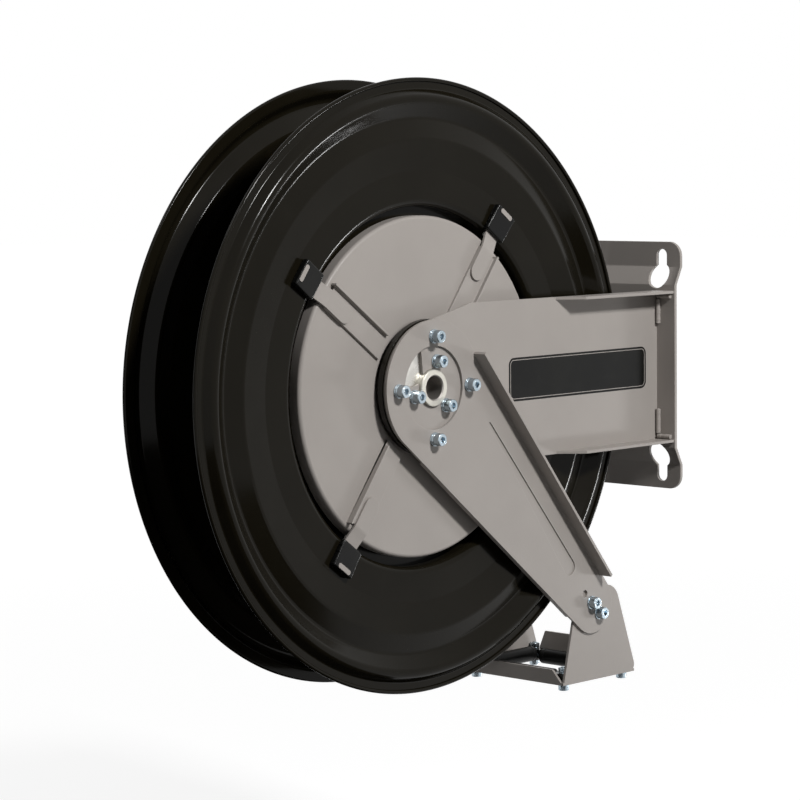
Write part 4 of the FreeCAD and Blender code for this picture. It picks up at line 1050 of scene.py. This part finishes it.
@dataclass
class EndCap:
    """Moulded cap over the outer end of a strap."""

    face: float = 50.0
    start: float = 186.0
    end: float = 216.0
    width: float = 30.0
    shift: float = 4.0
    height: float = 8.0
    fall: float = 2.0
    round: float = 2.0
    groove: float = 0.7
    groove_reach: float = 60.0
    grooves: tuple = (193.5, 201.0)
    slot_middle: float = 212.3
    slot_wide: float = 19.4
    slot_thick: float = 5.4
    slot_floor: float = 3.0
    slot_round: float = 2.3

    def pattern(self) -> bpy.types.Object:
        """Model one cap along +Y.

        Returns:
            The cap.
        """
        half, top = self.width / 2, self.face + self.height
        cap = Bench.block("end_cap", (self.face, self.start, self.shift - half),
                          (top, self.end, self.shift + half))
        Bench.pick_points(cap, lambda spot: spot.y < (self.start + 1.0) * MM and spot.x > (top - 1.0) * MM)
        bpy.ops.transform.translate(value=(-self.fall * MM, 0.0, 0.0))
        Bench.soften(cap, self.round, 4, 50.0)
        across = [(place, self.shift, self.groove_reach, 0.0) for place in self.grooves]
        down = [(place, self.shift + edge, self.groove_reach / 2, math.pi / 2)
                for place in self.grooves for edge in (-half, half)]
        for y, z, length, tilt in across + down:
            Bench.idle()
            bpy.ops.mesh.primitive_cylinder_add(
                vertices=24, radius=self.groove * MM, depth=length * MM,
                location=(top * MM, y * MM, z * MM), rotation=(0.0, tilt, 0.0))
            Bench.cut(cap, bpy.context.object)
        thick, wide = self.slot_thick / 2, self.slot_wide / 2
        low = (self.face + self.slot_floor, self.slot_middle - thick, self.shift - wide)
        high = (top + 1.0, self.slot_middle + thick, self.shift + wide)
        slot = Bench.block("slot", low, high)
        Bench.round_edges(slot, self.slot_round, along_x)
        Bench.cut(cap, slot)
        return cap


@dataclass
class Spoke:
    """Flat bar on the disc with one edge folded up."""

    face: float = 50.0
    sheet: float = 3.0
    start: float = 72.0
    end: float = 166.0
    width: float = 27.0
    fold: float = 4.5
    fold_sheet: float = 2.4
    fold_start: float = 6.0
    fold_reach: float = 3.5
    edge: float = 0.5

    def pattern(self) -> bpy.types.Object:
        """Model one spoke along +Y.

        Returns:
            The spoke.
        """
        half, top = self.width / 2, self.face + self.sheet
        spoke = Bench.block("spoke", (self.face, self.start, -half), (top, self.end, half))
        fold = Bench.block("fold", (self.face, self.start + self.fold_start, -half),
                           (top + self.fold, self.end + self.fold_reach, self.fold_sheet - half))
        Bench.cut(spoke, fold, "UNION")
        Bench.soften(spoke, self.edge, 3)
        return spoke


@dataclass
class Drum:
    """The turning part: flanges, discs, spokes, straps and caps."""

    first_spoke: float = 53.5
    spokes: int = 4

    def places(self, side: int) -> list[Matrix]:
        """Places of the spokes on one side.

        Args:
            side: 1 for the inlet side, -1 for the far side.

        Returns:
            One place for each spoke.
        """
        mirror = Matrix.Scale(side, 4, Vector((1.0, 0.0, 0.0)))
        turns = [self.first_spoke + 360.0 / self.spokes * number for number in range(self.spokes)]
        return [Matrix.Translation(DRUM) @ Matrix.Rotation(math.radians(turn), 4, "X") @ mirror
                for turn in turns]

    def build(self) -> None:
        """Model the drum's pieces on both sides."""
        for side, name in ((INLET, "inlet"), (FAR, "far")):
            DrumFlange(side, "drum_flange_" + name).build()
            low, high = sorted(side * (corner.x - DRUM.x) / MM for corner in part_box("bush_" + name))
            SideDisc(side, "side_disc_" + name, low, high).build()
            for maker, slot, node in ((Spoke(), Slot.DISC_PAINT, "spokes_"),
                                      (Strap(), Slot.DISC_PAINT, "straps_"),
                                      (EndCap(), Slot.BLACK_PLASTIC, "end_caps_")):
                pattern = maker.pattern()
                pattern.name += "_" + name
                if side == FAR:
                    Bench.edit(pattern)
                    bpy.ops.mesh.flip_normals()
                    Bench.idle()
                Bench.repeat(pattern, slot, "drum", node + name, self.places(side))


# ---------------------------------------------------------------- fasteners


@dataclass
class SocketScrew:
    """Socket-head screw along +X, its head standing on X = 0."""

    name: str
    thread: float
    head: float
    head_length: float
    key: float
    key_depth: float
    shank: float
    knurls: int = 36
    knurl_depth: float = 0.18
    chamfer: float = 0.7
    tip: float = 0.7
    foot: float = 0.4
    plain: float = 0.3

    def pattern(self) -> bpy.types.Object:
        """Model one screw.

        Returns:
            The screw.
        """
        low, top = self.chamfer, self.head_length - self.chamfer
        section = [(-self.shank, 0.0), (-self.shank, self.thread - self.tip),
                   (self.tip - self.shank, self.thread), (0.0, self.thread), (0.0, self.head - self.foot),
                   (self.foot, self.head), (low + self.plain, self.head), (top, self.head),
                   (self.head_length, self.head - self.chamfer), (self.head_length, 0.0)]
        screw = Bench.spun(self.name, [Vector(point) for point in section], 2 * self.knurls)
        step = math.pi / self.knurls

        def in_groove(spot: Vector) -> bool:
            """Whether a point is on every second line of the barrel.

            Args:
                spot: the point.

            Returns:
                Whether it lies in a groove of the knurling.
            """
            turn = round(math.atan2(spot.y, spot.z) / step)
            on_barrel = low * MM < spot.x < (top + 0.01) * MM
            return on_barrel and turn % 2 == 0 and math.hypot(spot.y, spot.z) > (self.head - 0.01) * MM

        Bench.pick_points(screw, in_groove)
        shrink = 1.0 - self.knurl_depth / self.head
        bpy.ops.transform.resize(value=(1.0, shrink, shrink), center_override=(0.0, 0.0, 0.0))
        Bench.idle()
        bpy.ops.mesh.primitive_cylinder_add(
            vertices=6, radius=self.key / math.sqrt(3.0) * MM, depth=2 * self.key_depth * MM,
            location=(self.head_length * MM, 0.0, 0.0), rotation=(0.0, math.pi / 2, 0.0))
        Bench.cut(screw, bpy.context.object)
        return screw


def washer(name: str, bore: float, radius: float, thick: float, gap: float = 0.0) -> bpy.types.Object:
    """Washer along +X on X = 0, or a split spring washer.

    Args:
        name: name of the piece.
        bore: radius of the hole.
        radius: outer radius.
        thick: thickness.
        gap: width of the split in degrees, or 0 for a plain washer.

    Returns:
        The washer.
    """
    edge = 0.25
    section = [(0.0, bore), (0.0, radius - edge), (edge, radius), (thick - edge, radius),
               (thick, radius - edge), (thick, bore)]
    angle = math.tau - math.radians(gap)
    ring = Bench.spun(name, [Vector(point) for point in section], 48, closed=True, angle=angle)
    if gap:
        Bench.edit(ring)
        bpy.ops.mesh.select_all(action="DESELECT")
        bpy.ops.mesh.select_mode(type="EDGE")
        bpy.ops.mesh.select_non_manifold()
        bpy.ops.mesh.edge_face_add()
        bpy.ops.mesh.select_all(action="SELECT")
        bpy.ops.mesh.normals_make_consistent(inside=False)
        Bench.idle()
    return ring


@dataclass
class HexNut:
    """Hexagon nut along +X on X = 0, chamfered on both faces."""

    name: str
    flats: float
    tall: float
    bore: float
    chamfer: float = 30.0
    land: float = 0.2
    mouth: float = 1.6
    mouth_depth: float = 0.6

    def pattern(self) -> bpy.types.Object:
        """Model one nut.

        Returns:
            The nut.
        """
        Bench.idle()
        corner = self.flats / math.sqrt(3.0)
        bpy.ops.mesh.primitive_cylinder_add(vertices=6, radius=corner * MM, depth=self.tall * MM,
                                            location=(self.tall / 2 * MM, 0.0, 0.0),
                                            rotation=(0.0, math.pi / 2, 0.0))
        nut = bpy.context.object
        nut.name = self.name
        bpy.ops.object.transform_apply(location=True, rotation=True, scale=True)
        flat = self.flats / 2 - self.land
        slope = (corner - flat) * math.tan(math.radians(self.chamfer))
        lens = [(0.0, 0.0), (0.0, flat), (slope, corner), (self.tall - slope, corner), (self.tall, flat),
                (self.tall, 0.0)]
        Bench.cut(nut, Bench.spun("lens", [Vector(point) for point in lens], 60), "INTERSECT")
        wide, deep = self.bore + self.mouth, self.mouth_depth
        hole = [(-1.0, 0.0), (-1.0, wide), (deep, self.bore), (self.tall - deep, self.bore),
                (self.tall + 1.0, wide), (self.tall + 1.0, 0.0)]
        Bench.cut(nut, Bench.spun("hole", [Vector(point) for point in hole], 32))
        return nut


@dataclass
class Fasteners:
    """Screws, washers and nuts on their CAD seats; turns are in degrees from one to the next."""

    thread: float = 4.0
    head: float = 6.5
    head_length: float = 8.0
    key: float = 6.0
    key_depth: float = 4.5
    flats: float = 13.0
    small_thread: float = 3.0
    small_head: float = 5.8
    small_head_length: float = 7.0
    small_key: float = 5.0
    small_key_depth: float = 4.0
    small_knurls: int = 30
    small_flats: float = 10.0
    washer_room: float = 0.2
    nut_room: float = 0.05
    split: float = 14.0
    screw_turn: float = 37.0
    washer_turn: float = 55.0
    nut_turn: float = 24.0

    @staticmethod
    def along(seats: Sequence[Seat], outer_end: bool, length: float, turn: float) -> list[Matrix]:
        """Places for pieces that lie across the reel, measured from an end of their seats.

        Args:
            seats: CAD seats of the pieces.
            outer_end: whether the length is measured from the outer end of the seat.
            length: how far inwards the piece's origin is from that end, in millimetres.
            turn: turn from one piece to the next, in degrees.

        Returns:
            The places.
        """
        places = []
        for number, seat in enumerate(seats):
            outer = seat.high.x if seat.side == INLET else seat.low.x
            inner = seat.low.x if seat.side == INLET else seat.high.x
            x = (outer if outer_end else inner) - seat.side * length * MM
            places.append(facing(Vector((x, seat.middle.y, seat.middle.z)), seat.side, turn * number))
        return places

    def build(self) -> None:
        """Model every fastener that can be seen."""
        for node in ("hub_screws", "guide_screws"):
            seats = seats_of(node)
            shank = (seats[0].high.x - seats[0].low.x) / MM - self.head_length
            screw = SocketScrew(node[:-1], self.thread, self.head, self.head_length, self.key,
                                self.key_depth, shank)
            places = self.along(seats, True, self.head_length, self.screw_turn)
            Bench.repeat(screw.pattern(), Slot.ZINC, "frame", node, places)
        for node, gap in (("hub_washers", 0.0), ("guide_washers", 0.0), ("hub_spring_washers", self.split)):
            seats = seats_of(node)
            size = (seats[0].high - seats[0].low) / MM
            ring = washer(node[:-1], self.thread + self.washer_room, size.z / 2, size.x, gap)
            Bench.repeat(ring, Slot.ZINC, "frame", node, self.along(seats, False, 0.0, self.washer_turn))
        seats = seats_of("guide_nuts")
        tall = (seats[0].high.x - seats[0].low.x) / MM
        nut = HexNut("guide_nut", self.flats, tall, self.thread + self.nut_room).pattern()
        Bench.repeat(nut, Slot.ZINC, "frame", "guide_nuts", self.along(seats, False, 0.0, self.nut_turn))
        self._corners()

    def _corners(self) -> None:
        """Screws, washers and nuts at the corners of the hose guide."""
        seats = seats_of("corner_screws")
        shank = (seats[0].high.z - seats[0].low.z) / MM - self.small_head_length
        screw = SocketScrew("corner_screw", self.small_thread, self.small_head, self.small_head_length,
                            self.small_key, self.small_key_depth, shank, knurls=self.small_knurls)
        tops = [(seat.middle.x, seat.middle.y, seat.low.z + self.small_head_length * MM) for seat in seats]
        places = [Matrix.Translation(top) @ DOWNWARDS for top in tops]
        Bench.repeat(screw.pattern(), Slot.ZINC, "frame", "corner_screws", places)
        seats = seats_of("corner_washers")
        size = (seats[0].high - seats[0].low) / MM
        ring = washer("corner_washer", self.small_thread + self.washer_room, size.x / 2, size.z)
        Bench.repeat(ring, Slot.ZINC, "frame", "corner_washers", self.standing(seats))
        seats = seats_of("corner_nuts")
        tall = (seats[0].high.z - seats[0].low.z) / MM
        nut = HexNut("corner_nut", self.small_flats, tall, self.small_thread + self.nut_room).pattern()
        Bench.repeat(nut, Slot.ZINC, "frame", "corner_nuts", self.standing(seats))

    @staticmethod
    def standing(seats: Sequence[Seat]) -> list[Matrix]:
        """Places for upright pieces that stand on the lower ends of their seats.

        Args:
            seats: CAD seats of the pieces.

        Returns:
            The places.
        """
        return [Matrix.Translation((seat.middle.x, seat.middle.y, seat.low.z)) @ UPWARDS for seat in seats]


# ---------------------------------------------------------------- hub, arms and hose guide


@dataclass
class InletThread:
    """Inside thread of the inlet, a sleeve in the bore of the axle."""

    crest: float = 12.05
    pitch: float = 1.814
    depth: float = 1.0
    turns: int = 9
    steps: int = 48
    end_room: float = 1.6
    crest_start: float = 0.42
    crest_end: float = 0.58
    crest_room: float = 0.05

    def build(self) -> None:
        """Model the thread as a ridge wound round the bore."""
        root, crest = self.crest + self.depth, self.crest + self.crest_room
        ridge = [(0.0, root), (self.pitch * self.crest_start, crest), (self.pitch * self.crest_end, crest),
                 (self.pitch, root)]
        thread = Bench.trace("inlet_thread", [Vector((a, 0.0, b)) * MM for a, b in ridge])
        Bench.take(thread)
        step = thread.modifiers.new("winding", "SCREW")
        step.axis, step.screw_offset, step.iterations = "X", self.pitch * MM, self.turns
        step.steps = step.render_steps = self.steps
        step.use_merge_vertices, step.merge_threshold = True, 1e-6
        bpy.ops.object.modifier_apply(modifier=step.name)
        Bench.edit(thread)
        bpy.ops.mesh.normals_make_consistent(inside=True)
        Bench.idle()
        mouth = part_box("hollow_axle")[1].x
        start = mouth - (self.end_room + (self.turns + 1) * self.pitch) * MM
        place = facing(Vector((start, AXLE.y, AXLE.z)), INLET)
        Bench.settle(thread, Slot.MACHINED_STEEL, "frame", "", place)


@dataclass
class BareLabel:
    """Plain dark label on the arm web, with nothing on it but a thin line inside its edge."""

    length: float = 228.0
    height: float = 46.0
    corner: float = 8.0
    thick: float = 0.15
    from_wall: float = 148.0
    margin: float = 2.2
    line: float = 0.8
    line_height: float = 0.04
    web_thick: float = 3.0

    def build(self) -> None:
        """Model the label and its line as thin sheets with rounded corners."""
        label = Bench.prism("bare_label", self.outline(0.0), 0.0, self.thick)
        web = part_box("hub_flange_inlet")[1].x + self.web_thick * MM
        place = Matrix.Translation((web, -self.from_wall * MM, 0.0))
        Bench.settle(label, Slot.BLACK_PLASTIC, "frame", "", place)
        line = Bench.prism("label_line", self.outline(self.margin), 0.0, self.thick + self.line_height)
        Bench.cut(line, Bench.prism("inside", self.outline(self.margin + self.line), -1.0, 3.0))
        Bench.settle(line, Slot.GREY_PAINT, "frame", "", place)

    def outline(self, inset: float) -> list[Vector]:
        """Rounded rectangle inside the label's edge.

        Args:
            inset: how far inside, in millimetres.

        Returns:
            Its points.
        """
        corner = self.corner - inset
        a, b = self.length / 2 - inset - corner, self.height / 2 - inset - corner
        corners = ((-a, -b), (a, -b), (a, b), (-a, b))
        return tangent_path([(*spot, corner) for spot in corners], closed=True)


@dataclass
class Roller:
    """Moulded roller with tapered ends and a bore for its pin.

    Each point of the groove is how far it is from the taper and how deep.
    """

    node: str
    body: str
    nose: float = 3.6
    bore: float = 2.05
    mouth: float = 0.8
    mouth_depth: float = 1.0
    edge: float = 0.8
    edge_in: float = 0.4
    groove: tuple = ((4.0, 0.0), (4.4, 0.35), (5.4, 0.35), (5.8, 0.0))
    steps: int = 64

    def build(self) -> None:
        """Model the roller along X and lay it on its CAD seat."""
        low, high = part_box(self.node)
        size = (high - low) / MM
        crosswise = size.x > size.y
        length, radius = (size.x if crosswise else size.y), size.z / 2
        half, edge = length / 2, self.edge
        shoulder = half - (radius - self.nose)
        end = [(half - self.mouth_depth, self.bore), (half, self.bore + self.mouth), (half, self.nose),
               (shoulder - edge * self.edge_in, radius - edge, edge)]
        end += [(shoulder - place, radius - deep) for place, deep in self.groove]
        stops = end + [(-stop[0], *stop[1:]) for stop in reversed(end)]
        outline = tangent_path(stops, closed=True)
        roller = Bench.spun("moulded_" + self.node, outline, self.steps, closed=True)
        turn = Matrix.Identity(4) if crosswise else Matrix.Rotation(math.pi / 2, 4, "Z")
        place = Matrix.Translation((low + high) / 2) @ turn
        Bench.settle(roller, Slot.ROLLER_PLASTIC, self.body, self.node, place)


@dataclass
class WeldBead:
    """Rippled weld beads laid in the corners of the arms.

    Each point of a ripple is its place along the ripple and its share of the radius.
    """

    ripple: float = 3.4
    shape: tuple = ((0.15, 0.90), (0.45, 1.0), (0.80, 0.98))
    fullness: float = 0.48
    waver: float = 0.04
    waver_step: float = 2.3
    sunk: float = 0.22
    fewest: int = 4
    sides: int = 16

    def build(self) -> None:
        """Model one bead on each CAD seat."""
        for number, seat in enumerate(seats_of("arm_welds"), start=1):
            size = (seat.high - seat.low) / MM
            axis = 0 if size.x > size.z else 2
            length, radius = size[axis], min(size) * self.fullness
            count = max(self.fewest, round(length / self.ripple))
            step = length / count
            section = [(-length / 2, 0.0)]
            for wave in range(count):
                start = wave * step - length / 2
                swell = radius * (1.0 - self.waver + self.waver * math.sin(self.waver_step * wave))
                section += [(start + along * step, swell * share) for along, share in self.shape]
            section.append((length / 2, 0.0))
            bead = Bench.spun("weld_bead_%02d" % number, [Vector(point) for point in section], self.sides)
            turn = Matrix.Identity(4) if axis == 0 else Matrix.Rotation(math.pi / 2, 4, "Y")
            corner = seat.middle + Vector((0.0, self.sunk * size.y * MM, 0.0))
            place = Matrix.Translation(corner) @ turn
            Bench.settle(bead, Slot.GREY_PAINT, "frame", "arm_welds", place)


@dataclass
class Frame:
    """The fixed part, its rollers and its soft sheet edges."""

    sheet_nodes: tuple = ("wall_plate", "main_arm_inlet", "main_arm_far", "guide_arm_inlet",
                          "guide_arm_far", "hose_guide", "corner_blocks", "ratchet_wheel", "pawl")
    edge: float = 0.45
    flat_angle: float = 0.5
    edge_angle: float = 40.0

    def build(self) -> None:
        """Soften the sheets and add the smaller pieces."""
        for node in self.sheet_nodes:
            self.soften(frame["nodes"][node])
        InletThread().build()
        BareLabel().build()
        WeldBead().build()
        for name in ("front", "rear", "inlet_side", "far_side"):
            Roller("roller_" + name, name + "_roller").build()

    def soften(self, node: bpy.types.Object) -> None:
        """Round the edges of a CAD node with live steps that leave its mesh alone.

        Args:
            node: the CAD node.
        """
        weld = node.modifiers.new("weld", "WELD")
        weld.merge_threshold = 1e-6
        if not node.name.startswith("guide_arm"):
            flat = node.modifiers.new("flatten", "DECIMATE")
            flat.decimate_type, flat.angle_limit = "DISSOLVE", math.radians(self.flat_angle)
        bevel = node.modifiers.new("edges", "BEVEL")
        bevel.width, bevel.segments = self.edge * MM, 2
        bevel.limit_method, bevel.angle_limit = "ANGLE", math.radians(self.edge_angle)
        normals = node.modifiers.new("normals", "WEIGHTED_NORMAL")
        normals.keep_sharp = False
        LOG.info("softened %s", node.name)


# ---------------------------------------------------------------- studio


@dataclass(frozen=True)
class Lamp:
    """Rectangular soft lamp; places and sizes in metres, power in watts."""

    name: str
    place: tuple[float, float, float]
    aim: tuple[float, float, float]
    size: tuple[float, float]
    power: float

    def hang(self) -> None:
        """Hang the lamp, facing the point that it is aimed at."""
        data = bpy.data.lights.new(self.name, "AREA")
        data.shape = "RECTANGLE"
        data.size, data.size_y = self.size
        data.energy = self.power
        lamp = bpy.data.objects.new(self.name, data)
        lamp.location = self.place
        lamp.rotation_mode = "QUATERNION"
        lamp.rotation_quaternion = (Vector(self.aim) - Vector(self.place)).to_track_quat("-Z", "Y")
        bpy.context.scene.collection.objects.link(lamp)


@dataclass(frozen=True)
class Card:
    """Dark card out of the camera's sight, which gives metal and gloss something dark to show."""

    name: str
    place: tuple[float, float, float]
    turn: tuple[float, float, float]
    size: tuple[float, float]
    shade: float = 0.02

    def stand(self) -> None:
        """Stand the card in its place."""
        Bench.idle()
        bpy.ops.mesh.primitive_plane_add(size=1.0, location=self.place, rotation=self.turn)
        card = bpy.context.object
        card.name = self.name
        card.scale = (*self.size, 1.0)
        card.visible_camera = card.visible_diffuse = card.visible_shadow = False
        graph = Graph(bpy.data.materials.new(self.name))
        dark = graph.node("ShaderNodeBsdfDiffuse")
        dark.inputs["Color"].default_value = (self.shade, self.shade, self.shade, 1.0)
        graph.show(dark.outputs[0])
        card.data.materials.append(graph.owner)


@dataclass
class Studio:
    """Floor, lamps, background and camera."""

    floor_height: float = -0.62
    floor_size: float = 40.0
    floor_shade: float = 0.30
    glow_near: tuple[float, float] = (0.8, 0.88)
    glow_far: tuple[float, float] = (4.0, 1.0)
    soft_light: float = 0.06
    azimuth: float = 43.79
    elevation: float = 4.96
    roll: float = -0.60
    lens: float = 127.4
    sensor: float = 36.0
    place: Vector = field(default_factory=lambda: Vector((2.0365, -2.4765, 0.2371)))
    lamps: tuple[Lamp, ...] = (
        Lamp("key_lamp", (2.15, -0.37, 1.50), (0.0, -0.37, 0.0), (0.32, 0.32), 65.0),
        Lamp("right_lamp", (0.85, 1.70, -0.60), (0.0, -0.35, 0.0), (0.30, 0.30), 15.0),
        Lamp("upper_fill", (-0.2, -1.9, 2.0), (0.0, -0.2, 0.0), (0.8, 0.4), 6.5),
        Lamp("left_strip", (-1.2, -2.6, -0.1), (0.0, -0.38, 0.0), (0.01, 0.8), 2.5))
    cards: tuple[Card, ...] = (
        Card("left_card", (-1.6, -3.2, 0.2), (math.pi / 2, 0.0, 0.2), (3.2, 3.0)),
        Card("low_card", (0.6, -1.2, -0.60), (0.0, 0.0, 0.0), (2.4, 2.0)))

    def build(self) -> None:
        """Set up everything around the reel."""
        self._floor()
        self._world()
        for lamp in self.lamps:
            lamp.hang()
        for card in self.cards:
            card.stand()
        self._camera()

    def _floor(self) -> None:
        """Pale floor that keeps the shadow."""
        Bench.idle()
        bpy.ops.mesh.primitive_plane_add(size=self.floor_size, location=(0.0, 0.0, self.floor_height))
        floor = bpy.context.object
        floor.name = "studio_floor"
        graph = Graph(bpy.data.materials.new("studio_floor"))
        diffuse = graph.node("ShaderNodeBsdfDiffuse")
        diffuse.inputs["Color"].default_value = (self.floor_shade, self.floor_shade, self.floor_shade, 1.0)
        away = graph.node("ShaderNodeVectorMath", operation="LENGTH")
        graph.join(graph.coords, away.inputs[0])
        (near, low), (far, high) = self.glow_near, self.glow_far
        glow = graph.node("ShaderNodeEmission")
        graph.join(graph.ramp(away.outputs["Value"], near, far, low, high), glow.inputs["Strength"])
        both = graph.node("ShaderNodeAddShader")
        graph.join(diffuse.outputs[0], both.inputs[0])
        graph.join(glow.outputs[0], both.inputs[1])
        mix = graph.node("ShaderNodeMixShader")
        graph.join(self._seen(graph), mix.inputs[0])
        graph.join(diffuse.outputs[0], mix.inputs[1])
        graph.join(both.outputs[0], mix.inputs[2])
        graph.show(mix.outputs[0])
        floor.data.materials.append(graph.owner)

    @staticmethod
    def _seen(graph: Graph) -> bpy.types.NodeSocket:
        """1 for rays from the camera, or off gloss and glass.

        Args:
            graph: the nodes it is added to.

        Returns:
            The value.
        """
        path = graph.node("ShaderNodeLightPath")
        either = graph.math("MAXIMUM", path.outputs["Is Camera Ray"], path.outputs["Is Glossy Ray"])
        return graph.math("MAXIMUM", either, path.outputs["Is Transmission Ray"])

    def _world(self) -> None:
        """White background; soft light for everything else."""
        world = bpy.data.worlds.new("studio")
        bpy.context.scene.world = world
        graph = Graph(world)
        back = graph.node("ShaderNodeBackground")
        back.inputs["Color"].default_value = WHITE
        level = graph.ramp(self._seen(graph), 0.0, 1.0, self.soft_light, 1.0)
        graph.join(level, back.inputs["Strength"])
        graph.show(back.outputs[0], "World")

    def _camera(self) -> None:
        """Camera at the product view."""
        az, el = math.radians(self.azimuth), math.radians(self.elevation)
        back = Vector((math.sin(az) * math.cos(el), -math.cos(az) * math.cos(el), math.sin(el)))
        right = Vector((math.cos(az), math.sin(az), 0.0))
        turn = Matrix((right, back.cross(right), back)).transposed()
        turn = turn @ Matrix.Rotation(math.radians(self.roll), 3, "Z")
        data = bpy.data.cameras.new("camera")
        data.lens = self.lens
        data.sensor_width = self.sensor
        camera = bpy.data.objects.new("camera", data)
        camera.matrix_world = Matrix.Translation(self.place) @ turn.to_4x4()
        bpy.context.scene.collection.objects.link(camera)
        bpy.context.scene.camera = camera


def main() -> None:
    """Build the scene in order and report each piece."""
    logging.basicConfig(level=logging.INFO, format="%(message)s")
    bpy.context.scene.view_settings.view_transform = "Standard"
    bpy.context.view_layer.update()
    FINISHES.build()
    FINISHES.dress()
    Drum().build()
    Fasteners().build()
    Frame().build()
    Studio().build()
    bpy.context.view_layer.update()
    LOG.info("built")


if __name__ == "__main__":
    main()
